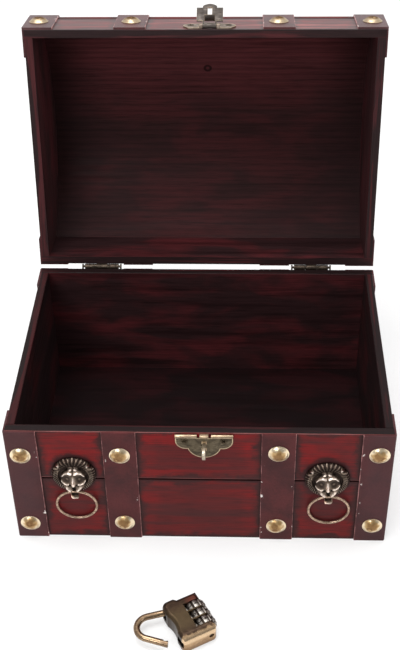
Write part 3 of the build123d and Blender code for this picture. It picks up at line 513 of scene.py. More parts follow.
def strapLeather(name, p, inLid=False):
    paint, tree, shader = newMaterial(name)
    place = pieceSpace(tree, inLid)
    x, y = addNode(tree, "SeparateXYZ", {0: place}).outputs[:2]
    edges = addNode(tree, "Group", {0: place}, node_tree=strapEdgeDistance)
    cloud = spots(tree, place, 0.05, 4.0, 0.6, 0.4)
    fleck = spots(tree, place, 0.9, 3.0, 0.6)
    colour = mixColour(tree, ramp(tree, cloud, 0.35, 0.7), p["brown"], p["dark"])
    colour = mixColour(tree, ramp(tree, fleck, 0.45, 0.75, 0.0, 0.4), colour, p["dark"])
    atCorner = ramp(tree, calc(tree, "ABSOLUTE", x), 88.0, 104.0, 0.0, 0.6)
    colour = mixColour(tree, atCorner, colour, p["grey"])
    near = edges.outputs[0]
    # pale broken line along the strap edges: partly rubbed wear, partly painted highlight
    rub = spots(tree, place, 0.11, 4.0, 0.65, 0.5)
    atEdge = ramp(tree, near, 0.1, 0.5, 1.0, 0.0)
    edgeWearAndHighlight = calc(tree, "MULTIPLY", atEdge, ramp(tree, rub, 0.40, 0.60, 0.10, 0.85))
    colour = mixColour(tree, edgeWearAndHighlight, colour, p["edge"])
    flaw = ramp(tree, spots(tree, place, 0.35, 2.0, 0.5), 0.69, 0.71)
    chipped = calc(tree, "MULTIPLY", flaw, ramp(tree, near, 0.7, 2.2, 1.0, 0.0))
    colour = mixColour(tree, chipped, colour, p["chip"])
    tree.links.new(colour, shader.inputs["Base Color"])
    tree.links.new(ramp(tree, fleck, 0.3, 0.7, 0.42, 0.6), shader.inputs["Roughness"])
    rib = calc(tree, "SINE", calc(tree, "MULTIPLY", x, 2 * math.pi / p["ribPitch"]))
    addBump(tree, shader, calc(tree, "MULTIPLY_ADD", rib, 0.12, fleck), 0.3, 0.00018)
    shader.inputs["Specular IOR Level"].default_value = p["gloss"]
    if inLid:
        varnish(tree, shader, y, varnishLook)
    return paint


boxStrap = strapLeather("boxStrapLeather", strapLook)
lidStrap = strapLeather("lidStrapLeather", strapLook, inLid=True)


# Metals

metals = {
    # name: rubbed, body, dark, roughness, wear scale
    "studGold": ((0.90, 0.75, 0.53), (0.52, 0.34, 0.16), (0.24, 0.13, 0.055), 0.30, 0.8),
    # the lid's studs: a darker copy of studGold, painted shade
    "lidStudGoldShaded": ((0.50, 0.39, 0.26), (0.30, 0.19, 0.09), (0.14, 0.075, 0.032), 0.36, 0.8),
    "claspBronze": ((0.34, 0.28, 0.19), (0.125, 0.100, 0.066), (0.055, 0.042, 0.030), 0.42, 0.6),
    # claspEdge: the brighter edges and bead of the plates and flap, partly rubbed wear, partly painted
    # highlight
    "claspEdge": ((0.82, 0.69, 0.47), (0.52, 0.40, 0.26), (0.30, 0.20, 0.14), 0.32, 1.0),
    "flapGrey": ((0.24, 0.21, 0.185), (0.105, 0.090, 0.080), (0.060, 0.050, 0.044), 0.44, 0.6),
    "wingBronze": ((0.60, 0.50, 0.42), (0.33, 0.265, 0.215), (0.15, 0.115, 0.092), 0.40, 0.8),
    "lionBronze": ((0.90, 0.76, 0.66), (0.20, 0.150, 0.115), (0.028, 0.019, 0.016), 0.28, 1.6),
    "ringGold": ((0.88, 0.68, 0.54), (0.50, 0.35, 0.25), (0.12, 0.070, 0.048), 0.24, 1.5),
    "stapleSteel": ((0.95, 0.90, 0.82), (0.78, 0.69, 0.56), (0.30, 0.22, 0.15), 0.28, 1.0),
    "hingeBrass": ((0.40, 0.33, 0.24), (0.070, 0.052, 0.040), (0.016, 0.012, 0.010), 0.40, 1.0),
    "screwBrass": ((0.30, 0.24, 0.15), (0.09, 0.065, 0.04), (0.016, 0.012, 0.009), 0.42, 1.2),
    "lockBronze": ((0.17, 0.115, 0.070), (0.062, 0.039, 0.026), (0.030, 0.019, 0.015), 0.34, 0.8),
    "lockGold": ((0.84, 0.62, 0.40), (0.50, 0.32, 0.17), (0.17, 0.095, 0.050), 0.26, 0.7),
    "shackleGold": ((0.52, 0.39, 0.26), (0.30, 0.205, 0.125), (0.150, 0.096, 0.060), 0.22, 0.4),
    "wheelBronze": ((0.34, 0.31, 0.28), (0.090, 0.070, 0.056), (0.016, 0.012, 0.010), 0.34, 1.8),
    "lockSteel": ((0.60, 0.60, 0.60), (0.36, 0.36, 0.37), (0.10, 0.10, 0.10), 0.34, 1.5),
}


def wornMetal(name, rubbed, body, dark, roughness, scale):
    paint, tree, shader = newMaterial(name)
    place = pieceSpace(tree, False)
    wear = addNode(tree, "Group", {0: place, 1: scale}, node_tree=metalWear)
    colour = mixColour(tree, calc(tree, "MULTIPLY", wear.outputs["Patina"], 0.75), body, dark)
    colour = mixColour(tree, calc(tree, "MULTIPLY", wear.outputs["Scratches"], 0.5), colour, rubbed)
    tree.links.new(colour, shader.inputs["Base Color"])
    shader.inputs["Metallic"].default_value = 1.0
    dullness = ramp(tree, wear.outputs["Patina"], 0, 1, roughness, roughness + 0.2)
    tree.links.new(dullness, shader.inputs["Roughness"])
    relief = calc(tree, "MULTIPLY_ADD", wear.outputs["Scratches"], 0.3, wear.outputs["Pits"])
    addBump(tree, shader, relief, 0.2, 0.00012)
    return paint


def handledMetal(name, rubbed, body, dark, roughness, scale):
    # follows the rubbed value that each point of a piece holds: wear on the lion and the wheels, a
    # painted reflection and highlight on the studs
    paint, tree, shader = newMaterial(name)
    wear = addNode(tree, "Group", {0: pieceSpace(tree, False), 1: scale}, node_tree=metalWear)
    held = addNode(tree, "Attribute", attribute_name="rubbed").outputs["Fac"]
    lift = calc(tree, "ADD", held, calc(tree, "MULTIPLY_ADD", wear.outputs["Pits"], 0.3, -0.15))
    colour = mixColour(tree, ramp(tree, lift, 0.02, 0.45), dark, body)
    colour = mixColour(tree, ramp(tree, lift, 0.40, 0.95), colour, rubbed)
    tree.links.new(colour, shader.inputs["Base Color"])
    shader.inputs["Metallic"].default_value = 1.0
    dullness = ramp(tree, lift, 0.0, 0.8, roughness + 0.2, roughness)
    tree.links.new(dullness, shader.inputs["Roughness"])
    addBump(tree, shader, wear.outputs["Pits"], 0.2, 0.00012)
    return paint


lockNames = ("lockBronze", "lockGold")
handledNames = ("studGold", "lidStudGoldShaded", "lionBronze", "wheelBronze")
plainNames = [name for name in metals if name not in lockNames + handledNames]
finish = {name: wornMetal(name, *metals[name]) for name in plainNames}
handled = {name: handledMetal(name + "ByPoint", *metals[name]) for name in handledNames}
print("materials made")


# Mesh helpers

weldDistance = 0.00001  # metres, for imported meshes
seamDistance = 0.000001  # metres, where a spun profile meets itself


def newPiece(name, bm, paints, body, replaced, sharp=35):
    mesh = bpy.data.meshes.new(name)
    bmesh.ops.recalc_face_normals(bm, faces=bm.faces)
    bm.to_mesh(mesh)
    bm.free()
    for paint in paints:
        mesh.materials.append(paint)
    mesh.shade_smooth()
    mesh.set_sharp_from_angle(angle=math.radians(sharp))
    piece = bpy.data.objects.new(name, mesh)
    scene.collection.objects.link(piece)
    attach(piece, body)
    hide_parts(*replaced)
    print("piece", name, len(mesh.polygons), "faces")
    return piece


def nodeMesh(name):
    bm = bmesh.new()
    bm.from_mesh(nodes[name].data)
    bmesh.ops.transform(bm, matrix=nodes[name].matrix_world, verts=bm.verts)
    bmesh.ops.remove_doubles(bm, verts=bm.verts, dist=weldDistance)
    return bm


def islandBoxes(name, back=None):
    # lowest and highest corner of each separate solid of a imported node
    bm = nodeMesh(name)
    if back:
        bmesh.ops.transform(bm, matrix=back, verts=bm.verts)
    found = []
    left = set(bm.verts)
    while left:
        group = [left.pop()]
        for vert in group:
            for edge in vert.link_edges:
                other = edge.other_vert(vert)
                if other in left:
                    left.remove(other)
                    group.append(other)
        low = Vector([min(v.co[i] for v in group) for i in range(3)])
        high = Vector([max(v.co[i] for v in group) for i in range(3)])
        found.append((low, high))
    bm.free()
    return sorted(found, key=lambda ends: (round(ends[0].z, 3), ends[0].x))


def spinProfile(bm, points, segments):
    # turns a profile of radius and height, in millimetres, round Z
    chain = [bm.verts.new((radius * mm, 0, height * mm)) for radius, height in points]
    edges = [bm.edges.new(pair) for pair in zip(chain, chain[1:])]
    bmesh.ops.spin(
        bm, geom=chain + edges, axis=(0, 0, 1), cent=(0, 0, 0), angle=2 * math.pi,
        steps=segments, use_merge=True
    )
    bmesh.ops.remove_doubles(bm, verts=bm.verts, dist=seamDistance)


def joinInto(target, part, matrix):
    # adds one bmesh, placed by a matrix, to another
    bmesh.ops.transform(part, matrix=matrix, verts=part.verts)
    mesh = bpy.data.meshes.new("part")
    part.to_mesh(mesh)
    part.free()
    target.from_mesh(mesh)
    bpy.data.meshes.remove(mesh)


def smooth(value, low, high):
    t = max(0.0, min(1.0, (value - low) / (high - low)))
    return t * t * (3 - 2 * t)


def newOnes(made, kind):
    return [item for item in made["geom"] if isinstance(item, kind)]


def roundOff(bm, edges, offset, segments=2, clamp=False):
    made = bmesh.ops.bevel(
        bm, geom=edges, offset=offset * mm, affect="EDGES", segments=segments, profile=0.5,
        material=-1, clamp_overlap=clamp
    )
    return made["faces"]


def insetFaces(bm, faces, thickness):
    made = bmesh.ops.inset_region(
        bm, faces=faces, thickness=thickness * mm, use_boundary=True, use_even_offset=True
    )
    return made["faces"]


facingFront = Matrix.Rotation(math.pi / 2, 4, "X")
facingBack = Matrix.Rotation(-math.pi / 2, 4, "X")


# Upholstery studs, each dented in its own way

studLook = {
    "radius": 6.1,
    "height": 3.1,
    "rings": 16,
    "segments": 44,
    "dent": 0.16,
    "grit": 0.05,
    "pitRadius": 1.45,
    "pitWidth": 0.32,
    "pitDepth": 0.36,
    "pitX": (-2.6, 2.6),
    "pitY": (-3.0, 1.6),
    "crown": 0.55,  # share of the radius given a painted dark reflection, with a painted bright rim outside it
    "crownX": (-0.8, 0.8),
    "crownY": (-0.2, 1.6),
    "lip": 0.35,
}


def studDome(p, seed):
    luck = random.Random(seed)
    curve = (p["radius"] ** 2 + p["height"] ** 2) / (2 * p["height"])
    profile = [(0.0, p["height"])]
    for i in range(1, p["rings"] + 1):
        radius = p["radius"] * i / p["rings"]
        height = math.sqrt(curve**2 - radius**2) - curve + p["height"]
        profile.append((radius, max(height, p["lip"])))
    profile += [(p["radius"] - 0.1, 0.0), (0.0, 0.0)]
    bm = bmesh.new()
    spinProfile(bm, profile, p["segments"])
    count = luck.choice((1, 1, 2))
    pits = [Vector((luck.uniform(*p["pitX"]), luck.uniform(*p["pitY"]))) for i in range(count)]
    shift = Vector((luck.uniform(-50, 50), luck.uniform(-50, 50), 0))
    crown = Vector((luck.uniform(*p["crownX"]), luck.uniform(*p["crownY"])))
    shine = bm.verts.layers.float.new("rubbed")
    for vert in bm.verts:
        spot = vert.co / mm
        # painted reflection: a dark centre, shifted from the middle, and a painted bright rim round it
        outward = (spot.xy - crown).length / p["radius"] + 0.25 * noise.noise(spot * 0.5 + shift)
        vert[shine] = 0.12 + 0.80 * smooth(outward, p["crown"] - 0.25, 0.95)
        if vert.co.z > p["lip"] * mm * 1.2:
            drop = p["dent"] * noise.noise(spot * 0.42 + shift)
            drop += p["grit"] * noise.noise(spot * 1.6 + shift)
            for pit in pits:
                away = (spot.xy - pit).length
                sunk = math.exp(-(((away - p["pitRadius"]) / p["pitWidth"]) ** 2))
                drop -= p["pitDepth"] * sunk
                vert[shine] -= 0.5 * sunk
            vert.co.z += drop * mm
    return bm


def makeStuds(name, node, body, back=None):
    bm = bmesh.new()
    for i, (low, high) in enumerate(islandBoxes(node, back)):
        seat = Vector(((low.x + high.x) / 2, low.y + studLook["height"] * mm, (low.z + high.z) / 2))
        place = Matrix.Translation(seat) @ facingFront
        if back:
            place = back.inverted() @ place
        joinInto(bm, studDome(studLook, name + str(i)), place)
    paints = [handled["lidStudGoldShaded" if back else "studGold"]]
    newPiece(name, bm, paints, body, [node], sharp=50)


makeStuds("boxStuds", "box_studs", "box")
makeStuds("lidStuds", "lid_studs", "lid", lidBack)


# Countersunk cross-head screws

screwLook = {
    "radius": 2.15,
    "segments": 32,
    "shank": 1.0,
    "plate": 0.9,
    "crown": 0.18,
    "arm": 1.35,
    "armWidth": 0.42,
    "depth": 0.75,
    "top": 0.94,  # share of the radius at the top of the crown
    "foot": 1.06,  # how much wider the crown is at its foot
    "taper": 0.8,  # how much narrower the cross is at its floor
}


def screwHead(p):
    bm = bmesh.new()
    radius = p["radius"] * mm * p["top"]
    bmesh.ops.create_circle(bm, cap_ends=False, segments=p["segments"], radius=radius)
    rimEdges = list(bm.edges)
    arm, half = p["arm"] * mm, p["armWidth"] * mm
    cross = []
    for turn in range(4):
        for x, y in ((half, arm), (half, half), (arm, half)):
            spot = Matrix.Rotation(-turn * math.pi / 2, 2) @ Vector((x, y))
            cross.append(bm.verts.new((spot.x, spot.y, 0)))
    crossEdges = [bm.edges.new(pair) for pair in zip(cross, cross[1:] + cross[:1])]
    bmesh.ops.triangle_fill(bm, edges=rimEdges + crossEdges, use_beauty=True)
    bmesh.ops.translate(bm, verts=bm.verts, vec=(0, 0, (p["plate"] + p["crown"]) * mm))
    for edges, drop, narrow in (
        (crossEdges, p["depth"], p["taper"]),
        (rimEdges, p["crown"], p["foot"]),
        (None, p["plate"], p["shank"] / p["radius"]),
    ):
        made = bmesh.ops.extrude_edge_only(bm, edges=edges or lastEdges)
        lastEdges = newOnes(made, bmesh.types.BMEdge)
        moved = newOnes(made, bmesh.types.BMVert)
        bmesh.ops.translate(bm, verts=moved, vec=(0, 0, -drop * mm))
        bmesh.ops.scale(bm, verts=moved, vec=(narrow, narrow, 1))
        if edges is not rimEdges:
            bmesh.ops.contextual_create(bm, geom=lastEdges)
    return bm


def makeScrews(name, node, body, back=None, atBack=False):
    luck = random.Random(name)
    bm = bmesh.new()
    for low, high in islandBoxes(node, back):
        plate = screwLook["plate"] * mm
        y = high.y - plate if atBack else low.y + plate
        turn = Matrix.Rotation(luck.uniform(0, math.pi / 2), 4, "Z")
        place = Matrix.Translation(((low.x + high.x) / 2, y, (low.z + high.z) / 2))
        place = place @ (facingBack if atBack else facingFront) @ turn
        if back:
            place = back.inverted() @ place
        joinInto(bm, screwHead(screwLook), place)
    newPiece(name, bm, [finish["screwBrass"]], body, [node])


makeScrews("stapleScrews", "staple_plate_screws", "box")
makeScrews("haspScrews", "hasp_plate_screws", "lid", lidBack)
makeScrews("hingeBoxScrews", "hinge_box_screws", "box", atBack=True)
makeScrews("hingeLidScrews", "hinge_lid_screws", "lid", lidBack, atBack=True)


# Stamped plates and flap with softened edges, brighter there: partly rubbed wear, partly painted
# highlight

plateLook = {"bevel": 0.18, "segments": 2, "sharp": 38, "band": 0.6, "screwRing": 3.0, "bead": 87.0}
boxFront = Vector((0, -1, 0))
lidFront = lidTurn.to_3x3() @ boxFront


def flatCopy(node):
    bm = nodeMesh(node)
    bmesh.ops.dissolve_limit(bm, angle_limit=math.radians(0.5), verts=bm.verts, edges=bm.edges)
    bmesh.ops.recalc_face_normals(bm, faces=bm.faces)
    return bm


def clearOf(holes, face, front, p):
    gaps = [face.calc_center_median() - hole for hole in holes]
    return all((gap - front * gap.dot(front)).length > p["screwRing"] * mm for gap in gaps)


def rollBand(bm, front, holes, p):
    # a brighter band along the outline of the front, but not round the screws: partly rubbed wear, partly
    # painted highlight
    shown = [f for f in bm.faces if f.normal.dot(front) > 0.99]
    for face in insetFaces(bm, shown, p["band"]):
        face.material_index = int(clearOf(holes, face, front, p))


def softenEdges(name, bm, node, body, face, p, holes=(), front=None):
    least = math.radians(p["sharp"])
    sharp = [e for e in bm.edges if len(e.link_faces) == 2 and e.calc_face_angle() > least]
    # the bevels take the brighter edge finish: partly rubbed wear, partly painted highlight
    for edgeFace in roundOff(bm, sharp, p["bevel"], p["segments"], clamp=True):
        edgeFace.material_index = int(clearOf(holes, edgeFace, front, p))
    newPiece(name, bm, [finish[face], finish["claspEdge"]], body, [node])


def makeStaplePlate(p):
    holes = [(low + high) / 2 for low, high in islandBoxes("staple_plate_screws")]
    bm = flatCopy("staple_plate")
    rollBand(bm, boxFront, holes, p)
    # the bead along the top takes the same brighter finish: partly rubbed wear, partly painted highlight
    for face in bm.faces:
        if face.calc_center_median().z > p["bead"] * mm:
            face.material_index = 1
    softenEdges("staplePlate", bm, "staple_plate", "box", "claspBronze", p, holes, boxFront)


def makeHaspPlate(p):
    holes = [(low + high) / 2 for low, high in islandBoxes("hasp_plate_screws")]
    bm = flatCopy("hasp_plate")
    rollBand(bm, lidFront, holes, p)
    softenEdges("haspPlate", bm, "hasp_plate", "lid", "wingBronze", p, holes, lidFront)


flapLook = {"shoulder": 17.5, "length": 20.6, "fuller": 2.5}


def makeFlap(p):
    # the end of the flap swells out a little more roundly than its packed outline
    bm = flatCopy("hasp_flap")
    pin = Vector(joints["hasp_hinge"]["pos_m"])
    leaf = max(bm.faces, key=lambda f: f.calc_area()).normal
    along = leaf.cross(Vector((1, 0, 0)))
    if max((v.co - pin).dot(along) for v in bm.verts) < p["shoulder"] * mm:
        along = -along
    for vert in bm.verts:
        share = ((vert.co - pin).dot(along) / mm - p["shoulder"]) / (p["length"] - p["shoulder"])
        if 0 < share < 1:
            vert.co.x = pin.x + (vert.co.x - pin.x) * (1 + p["fuller"] * share * (1 - share))
    softenEdges("haspFlap", bm, "hasp_flap", "hasp_flap", "flapGrey", plateLook)


makeStaplePlate(plateLook)
makeHaspPlate(plateLook)
makeFlap(flapLook)


# Lion masks, worked as a height over a finely notched disc

lionLook = {
    "rings": 92,
    "segments": 352,
    "radius": 13.4,
    "edge": 0.9,
    "tufts": 44,
    "strands": 44,
    "lean": 0.075,  # how far the side strands lean downwards for each millimetre outwards
    "mane": (8.5, 3.2, 2.0),  # inner radius, height, height of the smooth band inside it
    "face": (7.7, 9.6, -2.6, 3.2),  # half width, half height, middle, height
    "ear": (9.8, 7.9, 1.7),  # across, up, radius
    "earRise": 2.7,
    "earHole": 1.2,
    "strandDepth": 0.36,
    "fineDepth": 0.10,
    "tuftDepth": 0.5,
    "grit": 0.05,
    "pivotDrop": 13.2,
}


lionFeatures = (
    # run of points on one side, width, height, how rubbed
    (((1.0, 4.0), (2.8, 4.5), (5.0, 3.8), (6.8, 1.6)), 0.68, 1.5, 0.95),  # brow
    (((7.2, -2.3), (6.0, -3.8), (4.3, -4.4), (3.0, -4.0)), 0.48, 1.1, 0.85),  # lower lid
    (((3.6, -0.6), (3.7, -0.5)), 1.7, -1.5, -0.3),  # eye hollow
    (((3.6, -0.7), (3.7, -0.6)), 0.9, 0.9, 0.42),  # eye
    (((1.2, 6.5), (2.1, 6.3)), 0.8, 1.3, 0.85),  # crown bump
    (((0.0, 1.0), (0.0, -1.2)), 0.75, 1.2, 0.6),  # bridge of the nose
    (((0.0, -1.4), (0.0, -4.3)), 1.4, 2.0, 0.85),  # nose
    (((1.7, -4.8), (2.4, -5.4)), 0.45, -0.9, -0.6),  # crease beside the nose
    (((4.0, -6.9), (2.2, -9.2)), 1.15, 2.4, 0.8),  # muzzle
    (((3.1, -7.4), (3.2, -7.5)), 0.4, -0.5, -0.35),  # dimple of the muzzle
    (((0.0, -6.6), (0.0, -12.0)), 0.65, -2.8, -0.9),  # mouth
    (((6.0, -6.0), (5.6, -8.4)), 1.0, 0.6, 0.2),  # cheek
)


def alongRun(x, y, points, width):
    # 1 on a run of points, fading over about its width
    best = 1e9
    for (ax, ay), (bx, by) in zip(points, points[1:]):
        dx, dy = bx - ax, by - ay
        t = max(0.0, min(1.0, ((x - ax) * dx + (y - ay) * dy) / (dx * dx + dy * dy)))
        best = min(best, (x - ax - t * dx) ** 2 + (y - ay - t * dy) ** 2)
    return math.exp(-best / (width * width))


def lionRelief(x, y, p):
    # height over the wood, and how far handling has rubbed the place bright
    side, r = abs(x), math.hypot(x, y)
    turn = abs(math.atan2(x, y))
    inner, top, band = p["mane"]
    flow = (turn - p["lean"] * (r - inner) * math.sin(turn)) * p["strands"]
    lock = math.cos(flow)
    onMane = smooth(r, inner, inner + 1.1)
    fall = smooth(p["radius"] - r, 0.0, 1.8)
    height = p["edge"] + (band - p["edge"] + (top - band) * onMane) * fall
    carved = p["strandDepth"] * lock + p["fineDepth"] * math.cos(flow * 2 + 1.2)
    height += onMane * carved * (0.35 + 0.65 * fall)
    tip = smooth(r, 11.9, 12.8) * smooth(y, -9.0, 3.0)
    uneven = 0.6 + 0.6 * noise.noise(Vector((x * 0.5, y * 0.5, 7.0)))
    crest = (0.52 - 0.34 * smooth(y, 1.0, 9.0)) * smooth(lock, -0.2, 0.9)
    rub = onMane * (0.05 + crest + 0.42 * uneven * tip * smooth(lock, 0.2, 1.0))
    halfWidth, halfHeight, middle, rise = p["face"]
    inFace = 1 - (x / halfWidth) ** 2 - ((y - middle) / halfHeight) ** 2
    if inFace > 0:
        height = max(height, band + 0.3 + rise * math.sqrt(inFace))
        rub = 0.20 * smooth(inFace, 0.0, 0.5)
    gate = smooth(inFace, -0.30, 0.05)
    for points, width, relief, shine in lionFeatures:
        share = gate * alongRun(side, y, points, width)
        height += relief * share
        rub += shine * share
    earX, earY, earRadius = p["ear"]
    away = math.hypot(side - earX, y - earY)
    if away < earRadius * 1.5:
        lobe = smooth(earRadius * 1.35 - away, 0.0, 0.7)
        hole = smooth(earRadius * 0.65 - away, 0.0, 0.5)
        height = max(height, p["edge"] + p["earRise"] * lobe) - p["earHole"] * hole
        rub = max(rub, lobe * (0.45 + 0.4 * smooth(y - earY, -0.4, 0.9))) * (1 - hole)
    return height, rub


def lionHead(p):
    bm = bmesh.new()
    profile = [(p["radius"] * i / p["rings"], 0.0) for i in range(p["rings"] + 1)]
    spinProfile(bm, profile, p["segments"])
    shine = bm.verts.layers.float.new("rubbed")
    for vert in bm.verts:
        x, y = vert.co.x / mm, vert.co.y / mm
        notch = abs(math.sin(math.atan2(x, y) * p["tufts"] / 2)) ** 1.5
        share = 1 - p["tuftDepth"] * notch / p["radius"]
        x, y = x * share, y * share
        grit = p["grit"] * noise.noise(Vector((x, y, 0)) * 1.9)
        height, vert[shine] = lionRelief(x, y, p)
        vert.co = (x * mm, y * mm, (height + grit) * mm)
    made = bmesh.ops.extrude_edge_only(bm, edges=[e for e in bm.edges if e.is_boundary])
    for vert in newOnes(made, bmesh.types.BMVert):
        vert.co.z = 0
        vert[shine] = 0.0
    bmesh.ops.contextual_create(bm, geom=newOnes(made, bmesh.types.BMEdge))
    return bm


jawLook = {
    "halfWidth": 2.35,
    "top": -7.6,
    "drop": 17.4,
    "reach": 4.6,
    "wall": 0.85,
    "round": 1.5,
    "mouth": 2.6,
    "bevel": 0.22,
}


def lionJaw(p):
    # the open lower jaw that holds the ring
    bm = bmesh.new()
    bmesh.ops.create_cube(bm, size=1.0)
    tall = p["drop"] + p["top"]
    bmesh.ops.scale(bm, verts=bm.verts, vec=(2 * p["halfWidth"] * mm, tall * mm, p["reach"] * mm))
    bmesh.ops.translate(bm, verts=bm.verts, vec=(0, (p["top"] - tall / 2) * mm, p["reach"] * mm / 2))
    low = min(v.co.y for v in bm.verts)
    atFoot = [e for e in bm.edges if all(abs(v.co.y - low) < 1e-6 for v in e.verts)]
    upright = [e for e in atFoot if abs(e.verts[0].co.z - e.verts[1].co.z) > 1e-4]
    roundOff(bm, upright, p["round"], 6)
    front = [f for f in bm.faces if f.normal.z > 0.99]
    insetFaces(bm, front, p["wall"])
    bmesh.ops.translate(bm, verts=list({v for f in front for v in f.verts}), vec=(0, 0, -p["mouth"] * mm))
    roundOff(bm, [e for e in bm.edges if e.calc_face_angle(0) > 0.9], p["bevel"])
    shine = bm.verts.layers.float.new("rubbed")
    for vert in bm.verts:
        inMouth = vert.co.z < (p["reach"] - p["mouth"] + 0.1) * mm and vert.co.z > 0.5 * mm
        vert[shine] = 0.04 if inMouth else smooth(vert.co.z / mm, 1.5, p["reach"])
    return bm


def makeLion(side):
    swing = joints[side + "_ring_swing"]
    pivot, axis = Vector(swing["pos_m"]), swing["axis"]
    tilt = Matrix.Rotation(math.atan2(-axis[2], -axis[0]), 4, "Z")
    place = Matrix.Translation((pivot.x, -chest["halfDepth"] * mm, pivot.z)) @ facingFront @ tilt
    place = place @ Matrix.Translation((0, lionLook["pivotDrop"] * mm, 0))
    bm = lionHead(lionLook)
    joinInto(bm, lionJaw(jawLook), Matrix())
    bmesh.ops.transform(bm, matrix=place, verts=bm.verts)
    paints, replaced = [handled["lionBronze"]], [side + "_lion_mask"]
    newPiece(side + "LionMask", bm, paints, "box", replaced, sharp=60)


makeLion("left")
makeLion("right")


# Number wheels with thumb flutes and raised numerals

wheelLook = {
    "radius": 6.4,
    "width": 5.0,
    "bore": 1.56,
    "places": 10,
    "fluteDepth": 0.75,
    "perPlace": 10,
    "bevel": 0.3,
    "numeral": 2.9,
    "raised": 0.16,
}
wheelAxis = joints["number_wheel_1_spin"]["axis"]
lockTilt = math.atan2(wheelAxis[1], wheelAxis[0])


def wheelDisc(p):
    bm = bmesh.new()
    count = p["places"] * p["perPlace"]
    bmesh.ops.create_circle(bm, cap_ends=False, segments=count, radius=p["radius"] * mm)
    rim = list(bm.edges)
    for vert in bm.verts:
        turn = math.atan2(vert.co.y, vert.co.x)
        vert.co *= 1 - p["fluteDepth"] / p["radius"] * max(0.0, -math.cos(turn * p["places"])) ** 3
    made = bmesh.ops.create_circle(bm, cap_ends=False, segments=count, radius=p["bore"] * mm)
    hole = list({e for v in made["verts"] for e in v.link_edges})
    sheet = bmesh.ops.bridge_loops(bm, edges=rim + hole)
    made = bmesh.ops.extrude_face_region(bm, geom=sheet["faces"])
    bmesh.ops.translate(bm, verts=newOnes(made, bmesh.types.BMVert), vec=(0, 0, p["width"] * mm))
    bmesh.ops.translate(bm, verts=bm.verts, vec=(0, 0, -p["width"] * mm / 2))
    bmesh.ops.recalc_face_normals(bm, faces=bm.faces)
    sharp = [e for e in bm.edges if e.calc_face_angle(0) > 1.2]
    beyond = p["bore"] * mm * 1.5
    roundOff(bm, [e for e in sharp if e.verts[0].co.xy.length > beyond], p["bevel"])
    shine = bm.verts.layers.float.new("rubbed")
    for vert in bm.verts:
        radius = vert.co.xy.length / mm
        vert[shine] = smooth(radius, p["radius"] - p["fluteDepth"], p["radius"] - 0.15)
    return bm


def numeral(digit, p):
    data = bpy.data.curves.new("numeral", "FONT")
    data.body = digit
    data.size = p["numeral"] * mm
    data.align_x = "CENTER"
    data.align_y = "CENTER"
    data.extrude = p["raised"] * mm
    data.resolution_u = 3
    holder = bpy.data.objects.new("numeral", data)
    mesh = bpy.data.meshes.new_from_object(holder)
    bm = bmesh.new()
    bm.from_mesh(mesh)
    bpy.data.objects.remove(holder)
    bpy.data.curves.remove(data)
    bpy.data.meshes.remove(mesh)
    return bm


def makeWheel(number, p):
    node = "number_wheel_" + str(number)
    low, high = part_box(node)
    turnZ = Matrix.Rotation(lockTilt, 4, "Z")
    turnY = Matrix.Rotation(math.pi / 2, 4, "Y")
    place = Matrix.Translation((Vector(low) + Vector(high)) / 2) @ turnZ @ turnY
    bm = wheelDisc(p)
    for i in range(p["places"]):
        turn = Matrix.Rotation(2 * math.pi * i / p["places"], 4, "Z")
        out = Matrix.Translation((p["radius"] * mm, 0, 0)) @ Matrix.Rotation(math.pi / 2, 4, "Y")
        joinInto(bm, numeral(str((i + number * 3) % 10), p), turn @ out)
    bmesh.ops.transform(bm, matrix=place, verts=bm.verts)
    newPiece("numberWheel" + str(number), bm, [handled["wheelBronze"]], node, [node])


for wheelNumber in (1, 2, 3):
    makeWheel(wheelNumber, wheelLook)


# Padlock body: dark face, walls darkened by painted shade, olive in the middle, rubbed golden on the
# shackle's free side with a painted highlight band and painted shade at its foot

lockLook = {
    "place": (5.35, -144.4),
    "goldFrom": -10.4,
    "goldTo": -12.2,
    "goldFootShade": (2.0, 8.0),  # heights over the table; painted shade below them on the golden side
    # a painted highlight band on the golden side: height over the table and half width
    "goldHighlightBand": (10.0, 3.0),
    # heights over the table between which the painted shade on the walls fades out
    "wallShadeTop": (9.5, 12.2),
    "rustSpot": (9.5, 4.0, 13.0),
    "olive": (0.105, 0.076, 0.040),
    "rust": (0.150, 0.045, 0.034),
}


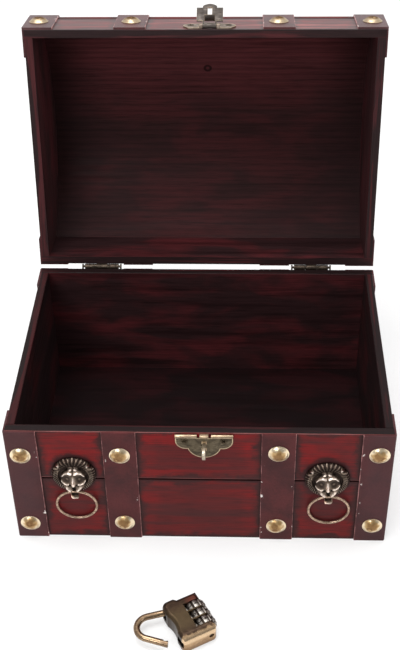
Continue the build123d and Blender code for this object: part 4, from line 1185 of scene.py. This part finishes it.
def lockMetal(name, p, plain, gold):
    paint, tree, shader = newMaterial(name)
    place = pieceSpace(tree, False)
    feeds = {"Vector": place, "Location": (*p["place"], 0.0), "Rotation": (0.0, 0.0, lockTilt)}
    own = addNode(tree, "Mapping", feeds, vector_type="TEXTURE").outputs[0]
    split = addNode(tree, "SeparateXYZ", {0: own})
    wear = addNode(tree, "Group", {0: place, 1: 0.8}, node_tree=metalWear)
    side = calc(tree, "MULTIPLY_ADD", wear.outputs["Patina"], 0.8, split.outputs["X"])
    onSide = ramp(tree, calc(tree, "MULTIPLY", side, -1.0), -p["goldFrom"], -p["goldTo"])
    middle = ramp(tree, calc(tree, "ABSOLUTE", split.outputs["X"]), 3.0, 11.0, 0.75, 0.0)
    dull = mixColour(tree, calc(tree, "MULTIPLY", wear.outputs["Patina"], 0.6), plain[1], plain[2])
    dull = mixColour(tree, calc(tree, "MULTIPLY", middle, 0.7), dull, p["olive"])
    rust = ramp(tree, distanceTo(tree, own, p["rustSpot"]), 0.5, 6.5, 0.7, 0.0)
    dull = mixColour(tree, rust, dull, p["rust"])
    # painted shade: the walls darken below the face
    dull = mixColour(tree, ramp(tree, split.outputs["Z"], *p["wallShadeTop"], 0.75, 0.0), dull, plain[2])
    dull = mixColour(tree, calc(tree, "MULTIPLY", wear.outputs["Scratches"], 0.25), dull, plain[0])
    bright = mixColour(tree, calc(tree, "MULTIPLY", wear.outputs["Patina"], 0.5), gold[1], gold[2])
    bright = mixColour(tree, calc(tree, "MULTIPLY", wear.outputs["Scratches"], 0.5), bright, gold[0])
    # painted shade towards the foot of the golden side
    bright = mixColour(tree, ramp(tree, split.outputs["Z"], *p["goldFootShade"], 0.75, 0.0), bright, gold[2])
    # painted highlight: a bright band across the golden side
    bright = mixColour(tree, line(tree, split.outputs["Z"], *p["goldHighlightBand"], 0.6, 0.0), bright, gold[0])
    tree.links.new(mixColour(tree, onSide, dull, bright), shader.inputs["Base Color"])
    shader.inputs["Metallic"].default_value = 1.0
    tree.links.new(ramp(tree, onSide, 0, 1, 0.38, 0.24), shader.inputs["Roughness"])
    brushed = spots(tree, stretch(tree, own, (0.4, 4, 4)), 1.0, 2.0, 0.6)
    addBump(tree, shader, calc(tree, "ADD", brushed, wear.outputs["Pits"]), 0.15, 0.0001)
    return paint


lockPaint = lockMetal("padlockBronze", lockLook, *(metals[name] for name in lockNames))
print("padlock finish made")


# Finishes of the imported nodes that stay

nodeFinish = {
    "front_panel": longBoard, "back_panel": longBoard,
    "left_panel": endBoard, "right_panel": endBoard,
    "bottom_panel": bottomBoard,
    "lid_front_wall": lidLongBoard, "lid_back_wall": lidLongBoard,
    "lid_left_end": lidEndBoard, "lid_right_end": lidEndBoard,
    "lid_dome": domeBoard,
    "staple": finish["stapleSteel"],
    "hasp_pin": finish["screwBrass"],
    "lion_mask_nails": finish["screwBrass"],
    "padlock_body": lockPaint, "shackle_pin": lockPaint, "shackle": finish["shackleGold"],
    "wheel_axle": finish["lockSteel"], "latch": finish["lockSteel"], "latch_spring": finish["lockSteel"],
}


def dressNodes():
    for name, node in nodes.items():
        if name in nodeFinish:
            paint = nodeFinish[name]
        elif name.endswith("strap"):
            paint = lidStrap if name.startswith("lid") else boxStrap
        elif "lion_mask" in name:
            paint = handled["lionBronze"]
        elif name.endswith("ring"):
            paint = finish["ringGold"]
        elif "screws" in name:
            paint = finish["screwBrass"]
        elif "hinge" in name:
            paint = finish["hingeBrass"]
        elif "studs" in name:
            paint = handled["studGold"]
        elif "number_wheel" in name:
            paint = handled["wheelBronze"]
        else:
            paint = finish["claspBronze"]
        node.data.materials.clear()
        node.data.materials.append(paint)


dressNodes()
print("nodes dressed")
